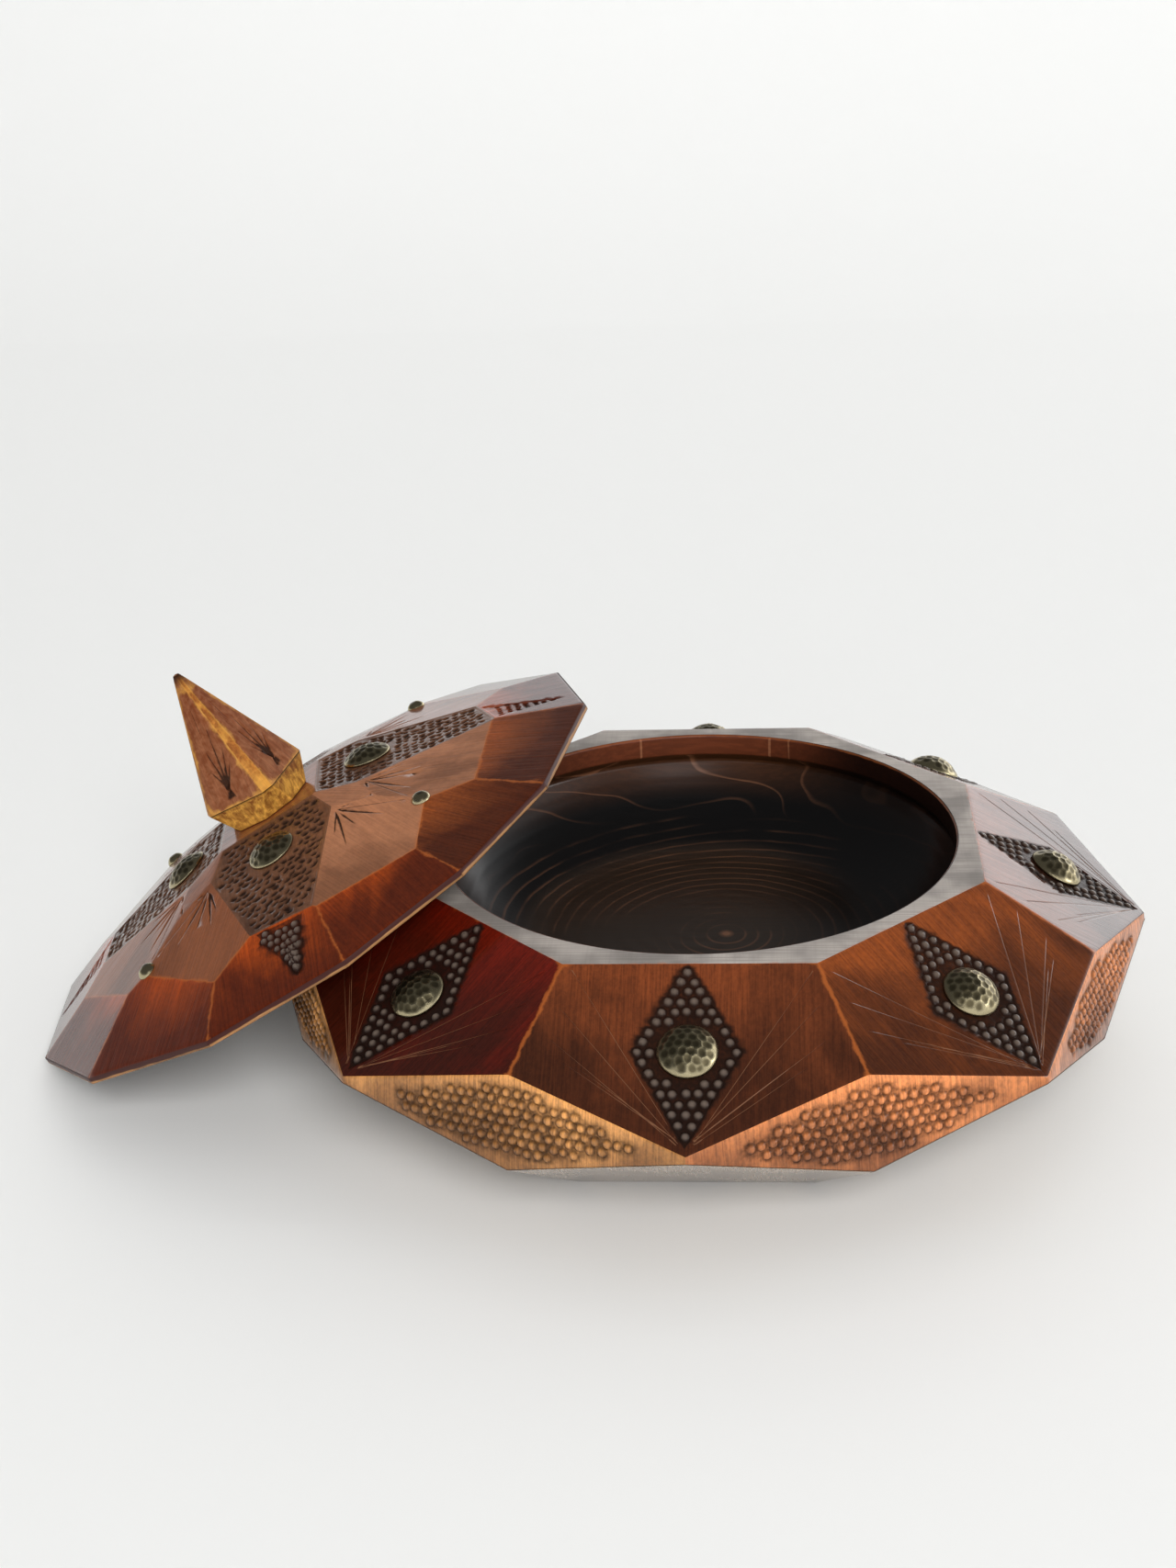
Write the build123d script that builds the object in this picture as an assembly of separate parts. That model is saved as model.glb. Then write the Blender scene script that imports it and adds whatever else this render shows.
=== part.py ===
from build123d import *
from math import cos, sin, tan, radians
import os

# Faceted wooden box with a loose lid. Millimetres and degrees, +Z up.
# The bowl stands on the origin. The lid leans on the bowl's left side with its low edge on the table.

# Bowl
BOWL_HEIGHT = 53.7
BOWL_SIDES = 8
BELLY_ACROSS = 204.0
BELLY_HEIGHT = 32.5
UPPER_SLOPE = 28.5
MIDDLE_RISE = 8.2
BASE_ACROSS = 123.8
LOWER_LEAN = 52.6

# Hollow of the bowl
RIM_WIDTH = 4.3545
MOUTH_LIP_DEPTH = 5.2
UNDERCUT = 1.8
UNDERCUT_SLOPE_DEPTH = 2.0
HOLLOW_DEPTH = 24.0
HOLLOW_FLOOR_ACROSS = 66.0
HOLLOW_WALL_BULGE = 3.4

# Lid, measured from the plane of its rim
LID_ACROSS = 156.0
LID_EDGE = 1.8
LID_CORNERS = (-75, -48, -18, 8, 31, 54, 83, 110, 138, 165, 193, 222, 253)
OUTER_SLOPE = 22.0
KITE_TOP = 22.3
KITE_SLOPE = 12.4
FLANK_TOP = 25.0
FLANK_SLOPE = 15.5
FLANK_TURN = 25.0
DIAGONAL_TOP = 23.4
DIAGONAL_SLOPE = 12.4
QUARTERS = 4

# Hollow and spigot under the lid
SPIGOT_CLEARANCE = 1.0
SPIGOT_HEIGHT = 1.6
SPIGOT_WALL = 3.2
LID_HOLLOW_DEPTH = 9.0
LID_HOLLOW_TOP_ACROSS = 56.0

# How the lid lies
LID_LEAN = 29.5
LID_TURN = -79.0
LID_TO_BACK = 15.1
LID_REST_GAP = 0.34359
LID_SLIDE_STEP = 0.0002
TABLE_GAP = 0.05

# Finial
FINIAL_SEAT_HEIGHT = 19.4
FINIAL_WIDE_HEIGHT = 6.7
FINIAL_HEIGHT = 38.8
FINIAL_ACROSS = 21.0
FINIAL_FOOT_ACROSS = 19.6
FINIAL_CORNER_CUT = 1.4
FINIAL_TURN = -25.0
FINIAL_TIP_ACROSS = 1.6
TENON_ACROSS = 9.0
TENON_LENGTH = 6.5
TENON_CLEARANCE = 0.1

# Studs with domed heads
STUD_ACROSS = 12.4
STUD_DOME = 3.2
STUD_BRIM = 0.5
STUD_SHANK_ACROSS = 1.8
STUD_SHANK_LENGTH = 9.0
LID_STUD_ACROSS = 11.8
LID_STUD_DOME = 2.4
LID_STUD_SHANK_LENGTH = 5.0
TACK_ACROSS = 4.6
TACK_DOME = 1.5
TACK_BRIM = 0.3
TACK_SHANK_ACROSS = 1.1
TACK_SHANK_LENGTH = 4.5
SHANK_CLEARANCE = 0.05
SHANK_END_GAP = 0.3
TACK_SINK = 0.25

# Places of the studs
STUD_FROM_RIM = 21.0
LID_STUD_RADIUS = 26.1
TACK_RADIUS = 52.5

SIDE_STEP = 360 / BOWL_SIDES
QUARTER_STEP = 360 / QUARTERS
SIDES = range(BOWL_SIDES)


def direction(azimuth, rise):
    """Unit vector at an azimuth in plan and a rise above level."""
    flat = cos(radians(rise))
    return Vector(flat * cos(radians(azimuth)), flat * sin(radians(azimuth)), sin(radians(rise)))


def spot(radius, azimuth, height):
    """Point given by radius, azimuth and height."""
    return Vector(radius * cos(radians(azimuth)), radius * sin(radians(azimuth)), height)


def facet(body, point, azimuth, rise):
    """Cuts off all that lies beyond a plane through the point."""
    plane = Plane(origin=point, z_dir=direction(azimuth, rise))
    return split(body, bisect_by=plane, keep=Keep.BOTTOM)


def turned(points):
    """Solid of revolution from a closed outline of radius and height."""
    outline = [(radius, height) for radius, height in points]
    sketch = Plane.XZ * make_face(Polyline(*outline, close=True))
    return revolve(sketch, axis=Axis.Z)


def domed_nail(across, dome, brim, shank_across, shank_length):
    """Nail whose head rests on the plane z = 0."""
    radius = across / 2
    ball = (radius**2 + dome**2) / (2 * dome)
    head = Pos(0, 0, brim + dome - ball) * Sphere(ball)
    head = split(head, bisect_by=Plane.XY.offset(brim), keep=Keep.TOP)
    ring = Cylinder(radius, brim, align=(Align.CENTER, Align.CENTER, Align.MIN))
    shank = Cylinder(shank_across / 2, shank_length, align=(Align.CENTER, Align.CENTER, Align.MAX))
    return head + ring + shank


def nail_hole(shank_across, shank_length):
    """Drilled hole for a nail, from the plane z = 0 down."""
    hole = Cylinder(
        shank_across / 2 + SHANK_CLEARANCE,
        shank_length + SHANK_END_GAP,
        align=(Align.CENTER, Align.CENTER, Align.MAX),
    )
    cap = Cylinder(
        shank_across / 2 + SHANK_CLEARANCE,
        SHANK_END_GAP,
        align=(Align.CENTER, Align.CENTER, Align.MIN),
    )
    return hole + cap


# Bowl: three rings of facets and a turned hollow
def rim_radius():
    """Distance from the axis to the flat of the rim."""
    drop = BOWL_HEIGHT - BELLY_HEIGHT
    return BELLY_ACROSS / 2 - drop / tan(radians(UPPER_SLOPE))


def mouth_radius():
    """The mouth leaves a rim of even width at the middle of each side."""
    return rim_radius() - RIM_WIDTH


def bowl_outside():
    """Eight sloping upper facets, eight kites and eight facets under them."""
    body = Cylinder(BELLY_ACROSS, BOWL_HEIGHT, align=(Align.CENTER, Align.CENTER, Align.MIN))
    for side in SIDES:
        azimuth = side * SIDE_STEP
        belly = spot(BELLY_ACROSS / 2, azimuth, BELLY_HEIGHT)
        foot = spot(BASE_ACROSS / 2, azimuth, 0)
        body = facet(body, belly, azimuth, 90 - UPPER_SLOPE)
        body = facet(body, belly, azimuth + SIDE_STEP / 2, MIDDLE_RISE)
        body = facet(body, foot, azimuth, -LOWER_LEAN)
    return body


def bowl_hollow():
    """Space inside the bowl: straight lip, undercut and a dished wall."""
    mouth = mouth_radius()
    floor = BOWL_HEIGHT - HOLLOW_DEPTH
    lip = BOWL_HEIGHT - MOUTH_LIP_DEPTH
    over = BOWL_HEIGHT + 1
    widest = mouth + UNDERCUT
    shoulder = lip - UNDERCUT_SLOPE_DEPTH
    edge = HOLLOW_FLOOR_ACROSS / 2
    middle = ((widest + edge) / 2 + HOLLOW_WALL_BULGE, (shoulder + floor) / 2 - HOLLOW_WALL_BULGE)
    lines = Polyline((edge, floor), (0, floor), (0, over), (mouth, over), (mouth, lip), (widest, shoulder))
    wall = ThreePointArc((widest, shoulder), middle, (edge, floor))
    sketch = Plane.XZ * make_face(lines + wall)
    return revolve(sketch, axis=Axis.Z)


def bowl_stud_place(side):
    """Seat of a stud on an upper facet."""
    azimuth = side * SIDE_STEP
    radius = rim_radius() + STUD_FROM_RIM * cos(radians(UPPER_SLOPE))
    height = BOWL_HEIGHT - STUD_FROM_RIM * sin(radians(UPPER_SLOPE))
    return Location(Plane(origin=spot(radius, azimuth, height), z_dir=direction(azimuth, 90 - UPPER_SLOPE)))


def bowl_body():
    body = bowl_outside() - bowl_hollow()
    for side in SIDES:
        body -= bowl_stud_place(side) * nail_hole(STUD_SHANK_ACROSS, STUD_SHANK_LENGTH)
    return body


# Lid in its own frame: rim plane at z = 0, front kite at azimuth 0
def kite_height(radius):
    """Height of a kite facet above the rim plane."""
    return KITE_TOP - radius * tan(radians(KITE_SLOPE))


def flank_height(radius, offset):
    """Height of a flank facet at an angle from its own azimuth."""
    return FLANK_TOP - radius * cos(radians(offset)) * tan(radians(FLANK_SLOPE))


def lid_outline():
    """Rim of the lid, whose sides are not all alike."""
    return [spot(LID_ACROSS / 2, corner, 0) for corner in LID_CORNERS]


def lid_blank():
    """Prism over the rim's outline."""
    face = make_face(Polyline(*lid_outline(), close=True))
    return extrude(face, amount=FLANK_TOP)


def lid_outside():
    """Prism cut by one facet over each side, then by the facets round the finial."""
    body = lid_blank()
    ends = LID_CORNERS[1:] + (LID_CORNERS[0] + 360,)
    for start, end in zip(LID_CORNERS, ends):
        middle = (start + end) / 2
        reach = LID_ACROSS / 2 * cos(radians((end - start) / 2))
        body = facet(body, spot(reach, middle, LID_EDGE), middle, 90 - OUTER_SLOPE)
    for quarter in range(QUARTERS):
        azimuth = quarter * QUARTER_STEP
        body = facet(body, Vector(0, 0, KITE_TOP), azimuth, 90 - KITE_SLOPE)
        body = facet(body, Vector(0, 0, FLANK_TOP), azimuth + FLANK_TURN, 90 - FLANK_SLOPE)
        body = facet(body, Vector(0, 0, FLANK_TOP), azimuth - FLANK_TURN, 90 - FLANK_SLOPE)
        body = facet(body, Vector(0, 0, DIAGONAL_TOP), azimuth + QUARTER_STEP / 2, 90 - DIAGONAL_SLOPE)
    return split(body, bisect_by=Plane.XY.offset(FINIAL_SEAT_HEIGHT), keep=Keep.BOTTOM)


def spigot_radius():
    """The spigot drops into the bowl's mouth with a small clearance."""
    return mouth_radius() - SPIGOT_CLEARANCE


def lid_spigot():
    """Low ring that keeps the lid in the bowl's mouth."""
    outer = spigot_radius()
    inner = outer - SPIGOT_WALL
    return turned([(inner, -SPIGOT_HEIGHT), (outer, -SPIGOT_HEIGHT), (outer, 1), (inner, 1)])


def lid_hollow():
    """Shallow dish turned under the lid."""
    inner = spigot_radius() - SPIGOT_WALL
    top = LID_HOLLOW_TOP_ACROSS / 2
    return turned(
        [(0, -SPIGOT_HEIGHT - 1), (inner, -SPIGOT_HEIGHT - 1), (inner, 0), (top, LID_HOLLOW_DEPTH), (0, LID_HOLLOW_DEPTH)]
    )


def lid_stud_place(quarter):
    """Seat of a large stud on a kite facet."""
    azimuth = quarter * QUARTER_STEP
    point = spot(LID_STUD_RADIUS, azimuth, kite_height(LID_STUD_RADIUS))
    return Location(Plane(origin=point, z_dir=direction(azimuth, 90 - KITE_SLOPE)))


def tack_place(quarter):
    """Seat of a small tack between two kites."""
    azimuth = (quarter + 0.5) * QUARTER_STEP
    offset = QUARTER_STEP / 2 - FLANK_TURN
    height = flank_height(TACK_RADIUS, offset) - TACK_SINK
    point = spot(TACK_RADIUS, azimuth, height)
    return Location(Plane(origin=point, z_dir=direction(azimuth, 90 - FLANK_SLOPE)))


def tack_seat():
    """Shallow round seat that a tack's head stands in."""
    radius = TACK_ACROSS / 2 + SHANK_CLEARANCE
    return Cylinder(radius, TACK_DOME, align=(Align.CENTER, Align.CENTER, Align.MIN))


def lid_wood():
    """The lid before it is drilled."""
    return lid_outside() + lid_spigot() - lid_hollow()


def lid_body():
    body = lid_wood()
    body -= Pos(0, 0, FINIAL_SEAT_HEIGHT) * tenon_hole()
    for quarter in range(QUARTERS):
        body -= lid_stud_place(quarter) * nail_hole(STUD_SHANK_ACROSS, LID_STUD_SHANK_LENGTH)
        body -= tack_place(quarter) * nail_hole(TACK_SHANK_ACROSS, TACK_SHANK_LENGTH)
        body -= tack_place(quarter) * tack_seat()
    return body


# Finial: a spear head on an undercut foot, with a round tenon
def tenon_hole():
    """Blind hole for the tenon, from z = 0 down."""
    return Cylinder(
        TENON_ACROSS / 2 + TENON_CLEARANCE,
        TENON_LENGTH + SHANK_END_GAP,
        align=(Align.CENTER, Align.CENTER, Align.MAX),
    )


def finial_head():
    """Four long faces to the tip, and eight short ones under the widest line."""
    half = FINIAL_ACROSS / 2
    tip = FINIAL_TIP_ACROSS / 2
    foot = FINIAL_FOOT_ACROSS / 2
    corner = half * 2**0.5 - FINIAL_CORNER_CUT
    body = extrude(Rectangle(2 * FINIAL_ACROSS, 2 * FINIAL_ACROSS), amount=FINIAL_HEIGHT)
    for quarter in range(QUARTERS):
        azimuth = quarter * QUARTER_STEP
        edge = azimuth + QUARTER_STEP / 2
        body = rising_facet(body, azimuth, half, FINIAL_WIDE_HEIGHT, tip, FINIAL_HEIGHT)
        body = rising_facet(body, edge, corner, FINIAL_WIDE_HEIGHT, tip, FINIAL_HEIGHT)
        body = rising_facet(body, azimuth, foot, 0, half, FINIAL_WIDE_HEIGHT)
        body = rising_facet(body, edge, foot, 0, corner, FINIAL_WIDE_HEIGHT)
    return body


def rising_facet(body, azimuth, low_radius, low, high_radius, high):
    """Facet through two points at one azimuth, each given by radius and height."""
    reach = Vector(high_radius - low_radius, 0, high - low)
    normal = Vector(reach.Z, 0, -reach.X).normalized()
    normal = normal.rotate(Axis.Z, azimuth)
    plane = Plane(origin=spot(low_radius, azimuth, low), z_dir=normal)
    return split(body, bisect_by=plane, keep=Keep.BOTTOM)


def finial():
    tenon = Cylinder(TENON_ACROSS / 2, TENON_LENGTH, align=(Align.CENTER, Align.CENTER, Align.MAX))
    return Rot(0, 0, FINIAL_TURN) * (finial_head() + tenon)


# Where the lid lies
def lid_leaned():
    """Leans the lid to the left and sets its low corner on the table, with its centre over the origin."""
    leaned = Rot(0, -LID_LEAN, 0) * Rot(0, 0, LID_TURN)
    lowest = min((leaned * Location(corner)).position.Z for corner in lid_outline())
    return Pos(0, LID_TO_BACK, TABLE_GAP - lowest) * leaned


def lid_place(lid, bowl):
    """Slides the leaned lid along the table to the bowl, up to the rest gap."""
    leaned = lid_leaned()
    across = -(BELLY_ACROSS + LID_ACROSS) / 2
    away = 1
    while away > LID_SLIDE_STEP:
        away = (Pos(across, 0, 0) * leaned * lid).distance_to(bowl) - LID_REST_GAP
        across += away
    return Pos(across, 0, 0) * leaned


def build():
    bowl_stud = domed_nail(STUD_ACROSS, STUD_DOME, STUD_BRIM, STUD_SHANK_ACROSS, STUD_SHANK_LENGTH)
    lid_stud = domed_nail(LID_STUD_ACROSS, LID_STUD_DOME, STUD_BRIM, STUD_SHANK_ACROSS, LID_STUD_SHANK_LENGTH)
    tack = domed_nail(TACK_ACROSS, TACK_DOME, TACK_BRIM, TACK_SHANK_ACROSS, TACK_SHANK_LENGTH)
    place = lid_place(lid_wood(), bowl_outside())
    print("lid centre", place.position, "axis", Plane(place).z_dir)
    nodes = {"bowl_body": bowl_body(), "lid_body": place * lid_body()}
    nodes["finial"] = place * Pos(0, 0, FINIAL_SEAT_HEIGHT) * finial()
    for side in SIDES:
        nodes[f"bowl_stud_{side + 1}"] = bowl_stud_place(side) * bowl_stud
    for quarter in range(QUARTERS):
        nodes[f"lid_stud_{quarter + 1}"] = place * lid_stud_place(quarter) * lid_stud
        nodes[f"lid_tack_{quarter + 1}"] = place * tack_place(quarter) * tack
    return nodes


os.makedirs("parts", exist_ok=True)
for name, shape in build().items():
    export_step(shape, f"parts/{name}.step")
    box = shape.bounding_box()
    print(name, round(shape.volume, 1), [round(v, 2) for v in (*box.min, *box.max)])
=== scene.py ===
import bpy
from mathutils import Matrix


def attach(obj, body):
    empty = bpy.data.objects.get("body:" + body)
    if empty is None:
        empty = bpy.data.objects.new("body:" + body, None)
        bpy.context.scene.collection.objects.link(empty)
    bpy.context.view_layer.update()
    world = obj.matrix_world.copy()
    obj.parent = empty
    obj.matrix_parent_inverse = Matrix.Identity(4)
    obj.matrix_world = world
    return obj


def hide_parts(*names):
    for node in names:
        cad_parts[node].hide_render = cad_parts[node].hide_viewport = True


bl_info = {
    "name": "Faceted Wooden Box",
    "version": (1, 0, 0),
    "blender": (4, 5, 0),
    "location": "View3D > Sidebar > Wooden Box",
    "description": "Faceted wooden box with a loose lid, hammered studs and punched carving",
    "category": "Object",
}

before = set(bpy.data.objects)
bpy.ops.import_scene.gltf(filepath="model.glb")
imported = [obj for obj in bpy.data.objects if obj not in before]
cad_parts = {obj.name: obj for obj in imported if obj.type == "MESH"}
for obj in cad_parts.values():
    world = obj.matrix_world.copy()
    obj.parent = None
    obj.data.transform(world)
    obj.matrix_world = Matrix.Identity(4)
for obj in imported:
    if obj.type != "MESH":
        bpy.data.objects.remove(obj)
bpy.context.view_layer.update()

import math
import random
from collections import namedtuple

import bpy
import numpy as np
from bpy.props import FloatProperty, FloatVectorProperty, IntProperty, PointerProperty
from mathutils import Matrix, Vector
from mathutils.geometry import delaunay_2d_cdt
from mathutils.kdtree import KDTree

MM = 0.001
UP = Vector((0, 0, 1))
SIDES = 8
QUARTERS = 4
TURNED_STEPS = 192

# Azimuths of the lid's corners, in degrees
LID_CORNERS = (-75, -48, -18, 8, 31, 54, 83, 110, 138, 165, 193, 222, 253)

# Lengths in millimetres: half the width of the block that facets are cut from, how near points
# count as one, the plain strip kept round a mark, the sloping wall of a punched ground, and the
# strip along an edge where the stain is rubbed
BLOCK = 500
NEAR = 0.004
GUARD = 0.28
GROUND_WALL = 0.3
WORN_STRIP = 1.3

# Depth of a gouge cut in millimetres, and the stain that collects in one
GOUGE_DEPTH = 0.4
GOUGE_STAIN = 1.0
TACK_LINE_STAIN = 0.85

# Height of a row in a pattern of even triangles, as a share of its pitch
ROW = 0.87

# Metres by which the grain is moved on from one facet to the next
GRAIN_SHIFT = 0.37

# Stain of the bowl's upper and middle facets, side by side round the bowl
UPPER_STAINS = ("brown", "chestnut", "mahogany", "brown", "mahogany", "mahogany", "brown", "chestnut")
MIDDLE_STAINS = ("golden", "salmon", "golden", "salmon", "golden", "golden", "salmon", "salmon")


def length(name, description, default):
    """A size in metres."""
    return FloatProperty(
        name=name, description=description, default=default, unit="LENGTH", precision=5
    )


def angle(name, description, default):
    """An angle, given here in degrees."""
    turn = math.radians(default)
    return FloatProperty(
        name=name, description=description, default=turn, unit="ROTATION", subtype="ANGLE"
    )


def linear(*values):
    """Scene colour from the 0 to 255 numbers of a colour picker."""
    parts = [v / 255 for v in values]
    return tuple(v / 12.92 if v <= 0.04045 else ((v + 0.055) / 1.055) ** 2.4 for v in parts)


def colour(name, description, *values):
    """A colour, given here as a colour picker shows it."""
    default = linear(*values)
    return FloatVectorProperty(
        name=name, description=description, default=default, subtype="COLOR", size=3, min=0, max=1
    )


class BowlSizes(bpy.types.PropertyGroup):
    height: length("Height", "Height of the bowl", 0.0537)
    belly_across: length("Belly across", "Width over two opposite points of the belly", 0.204)
    belly_height: length("Belly height", "Height of the belly's points", 0.0325)
    upper_slope: angle("Upper slope", "Slope of the studded facets", 28.5)
    middle_rise: angle("Middle rise", "How far the kite facets tip up", 8.2)
    base_across: length("Base across", "Width of the foot over its flats", 0.1238)
    lower_lean: angle("Lower lean", "How far the lowest facets tip down", 52.6)
    mouth_across: length("Mouth across", "Width of the mouth", 0.1172)
    lip_depth: length("Lip depth", "Height of the straight lip", 0.0052)
    undercut: length("Undercut", "How far the wall is cut back under the lip", 0.0018)
    undercut_slope: length("Undercut slope", "Height of the slope under the lip", 0.002)
    hollow_depth: length("Hollow depth", "Depth of the hollow under the rim", 0.024)
    floor_across: length("Floor across", "Width of the flat floor inside", 0.066)
    wall_bulge: length("Wall bulge", "How far the inside wall bulges from straight", 0.0034)


class LidSizes(bpy.types.PropertyGroup):
    across: length("Across", "Width over the lid's corners", 0.156)
    edge: length("Edge", "Thickness of the lid's edge", 0.0018)
    outer_slope: angle("Outer slope", "Slope of the facets along the edge", 22)
    kite_top: length("Kite top", "Height at which the kite facets would meet", 0.0223)
    kite_slope: angle("Kite slope", "Slope of the kite facets", 12.4)
    flank_top: length("Flank top", "Height at which the flank facets would meet", 0.025)
    flank_slope: angle("Flank slope", "Slope of the flank facets", 15.5)
    flank_turn: angle("Flank turn", "Turn of a flank facet from its kite", 25)
    diagonal_top: length("Diagonal top", "Height at which the diagonal facets would meet", 0.0234)
    diagonal_slope: angle("Diagonal slope", "Slope of the diagonal facets", 12.4)
    seat: length("Finial seat", "Height of the finial's seat over the lid's rim", 0.0194)
    spigot_clearance: length("Spigot clearance", "Room between the spigot and the mouth", 0.001)
    spigot_height: length("Spigot height", "Height of the ring under the lid", 0.0016)
    spigot_wall: length("Spigot wall", "Width of the ring under the lid", 0.0032)
    hollow_depth: length("Hollow depth", "Depth of the dish under the lid", 0.009)
    hollow_across: length("Hollow across", "Width of the dish's flat top", 0.056)
    lean: angle("Lean", "Tilt of the lid against the bowl", 29.5)
    turn: angle("Turn", "Turn of the lid about its own axis", -79)
    place: FloatVectorProperty(
        name="Place",
        description="Middle of the lid's rim",
        default=(-0.0936675, 0.0151, 0.0382486),
        subtype="TRANSLATION",
        size=3,
    )


class FinialSizes(bpy.types.PropertyGroup):
    height: length("Height", "Height of the finial", 0.0388)
    wide_height: length("Wide height", "Height of its widest line", 0.0067)
    across: length("Across", "Width over its flats", 0.021)
    foot_across: length("Foot across", "Width of its foot", 0.0196)
    corner_cut: length("Corner cut", "How much its corners are cut off", 0.0014)
    tip_across: length("Tip across", "Width of its tip", 0.0016)
    turn: angle("Turn", "Turn from the lid's kites", -25)


class StudSizes(bpy.types.PropertyGroup):
    across: length("Bowl stud across", "Width of a bowl stud", 0.0124)
    dome: length("Bowl stud dome", "Height of a bowl stud's dome", 0.0032)
    brim: length("Brim", "Thickness of a stud's edge", 0.0005)
    from_rim: length("From rim", "Distance of a bowl stud from the rim's edge", 0.021)
    lid_across: length("Lid stud across", "Width of a lid stud", 0.0118)
    lid_dome: length("Lid stud dome", "Height of a lid stud's dome", 0.0024)
    lid_radius: length("Lid stud radius", "Distance of a lid stud from the lid's axis", 0.0261)
    cell: length("Hammer mark", "Distance between hammer marks", 0.00185)
    cell_depth: length("Hammer depth", "Depth of a hammer mark", 0.00026)
    tack_across: length("Tack across", "Width of a tack", 0.0046)
    tack_dome: length("Tack dome", "Height of a tack's dome", 0.0015)
    tack_brim: length("Tack brim", "Thickness of a tack's edge", 0.0003)
    tack_radius: length("Tack radius", "Distance of a tack from the lid's axis", 0.0525)
    tack_sink: length("Tack sink", "How deep a tack is seated", 0.00025)


class CarvingSizes(bpy.types.PropertyGroup):
    pitch: length("Pitch", "Distance between punch marks", 0.00235)
    bead: length("Bead radius", "Radius of a punched bead", 0.00102)
    bead_rise: length("Bead rise", "Height of a punched bead over its ground", 0.00058)
    ground: length("Ground depth", "Depth of the punched ground", 0.00022)
    pit_depth: length("Pit depth", "Depth of a punched pit", 0.00055)
    line_width: length("Line width", "Width of an incised line", 0.0003)
    line_depth: length("Line depth", "Depth of an incised line", 0.00008)
    rub_width: length("Edge rub", "Width of the rounding along an edge", 0.0008)
    seed: IntProperty(
        name="Hand", description="Changes the small irregularities of the hand work", default=7
    )


class FinishColours(bpy.types.PropertyGroup):
    brown: colour("Brown stain", "Stain of the front facets", 96, 48, 24)
    mahogany: colour("Mahogany stain", "Deep red stain", 84, 16, 5)
    chestnut: colour("Chestnut stain", "Orange brown stain", 112, 56, 22)
    golden: colour("Golden stain", "Thin stain on the kite facets", 196, 140, 82)
    salmon: colour("Salmon stain", "Reddish thin stain on the kite facets", 198, 124, 74)
    amber: colour("Amber stain", "Thin stain of the lid's edge facets", 132, 54, 10)
    rosewood: colour("Rosewood stain", "Stain of the lid's inner facets", 128, 74, 44)
    tan: colour("Tan stain", "Palest stain of the lid's inner facets", 162, 108, 76)
    kite_brown: colour("Kite stain", "Stain of the lid's punched kites", 112, 74, 52)
    low_red: colour("Low red stain", "Stain gathered along the lid's edge", 56, 17, 9)
    # Painted sheen: grey laid on the domes of the punched beads for their reflection of the pale room
    bead_grey: colour("Bead", "Painted sheen on the punched beads", 108, 94, 84)
    bare: colour("Bare line", "Wood in the finest lines", 118, 80, 56)
    deep: colour("Deep stain", "Stain where it has gathered", 48, 28, 17)
    rubbed: colour("Rubbed edge", "Wood where the stain is rubbed off", 182, 98, 42)
    # Dark stain of punched grounds, also laid as painted shade round the beads
    punched: colour("Punched ground", "Dark stain in the punched ground and painted shade round beads", 26, 17, 13)
    # Pale stain of the lowest facets, paled further as a painted reflection of the bright floor
    foot: colour("Foot", "Pale stain with a painted reflection of the floor, on the lowest facets", 150, 134, 118)
    rim: colour("Rim", "Stain of the rim", 152, 144, 137)
    lip: colour("Lip", "Reddish lip of the hollow", 92, 46, 27)
    wall: colour("Hollow wall", "Wall of the hollow", 56, 31, 15)
    bottom: colour("Hollow floor", "Floor of the hollow", 36, 27, 20)
    # Painted shade: near black laid on the hollow's lower wall and its right side
    shade: colour("Hollow shade", "Painted shade on the hollow's lower wall and right side", 5, 4, 4)
    inside: colour("Inside", "Wood under the lid", 40, 19, 11)
    figure: colour("Figure", "Lighter figure under the lid", 96, 52, 28)
    raw_edge: colour("Lid edge", "Bare wood along the lid's edge", 146, 104, 64)
    pale_honey: colour("Honey stain", "Light stain of the finial", 250, 188, 84)
    amber_honey: colour("Amber honey", "Stain along the finial's corners", 194, 124, 54)
    rose: colour("Rose stain", "Stain of the finial's long faces", 158, 104, 72)
    finial_brown: colour("Finial stain", "Brown stain of the finial", 112, 54, 26)
    patina: colour("Patina", "Dark patina on the studs", 104, 95, 72)
    brass: colour("Brass", "Rubbed brass", 182, 170, 136)


class StageSettings(bpy.types.PropertyGroup):
    floor: colour("Floor", "Colour of the floor and the backdrop", 240, 240, 238)
    lens: FloatProperty(
        name="Focal length", description="Focal length of the camera in mm", default=51.1
    )
    camera: FloatVectorProperty(
        name="Camera place",
        description="Where the camera stands",
        default=(0.01953, -0.46444, 0.27042),
        subtype="TRANSLATION",
        size=3,
    )
    yaw: angle("Yaw", "Turn of the camera", 5.47)
    pitch: angle("Pitch", "Tilt of the camera", -23.63)
    roll: angle("Roll", "Roll of the camera", 2.84)


def settings():
    return bpy.context.scene


def hand(piece, part=0):
    """Random draws of one piece's hand work. The two numbers only keep pieces apart."""
    return random.Random(settings().box_carving.seed * piece + part)


# Planes, facets and drawing boards. Shapes are worked out in millimetres.
def direction(azimuth, rise):
    """Unit vector at an azimuth in plan and a rise above level, in radians."""
    flat = math.cos(rise)
    return Vector((flat * math.cos(azimuth), flat * math.sin(azimuth), math.sin(rise)))


def spot(radius, azimuth, height):
    return Vector((radius * math.cos(azimuth), radius * math.sin(azimuth), height))


def cut(kind, number, point, azimuth, rise):
    """A plane that cuts off all that lies beyond it."""
    normal = direction(azimuth, rise)
    return kind, number, normal, normal.dot(point)


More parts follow.
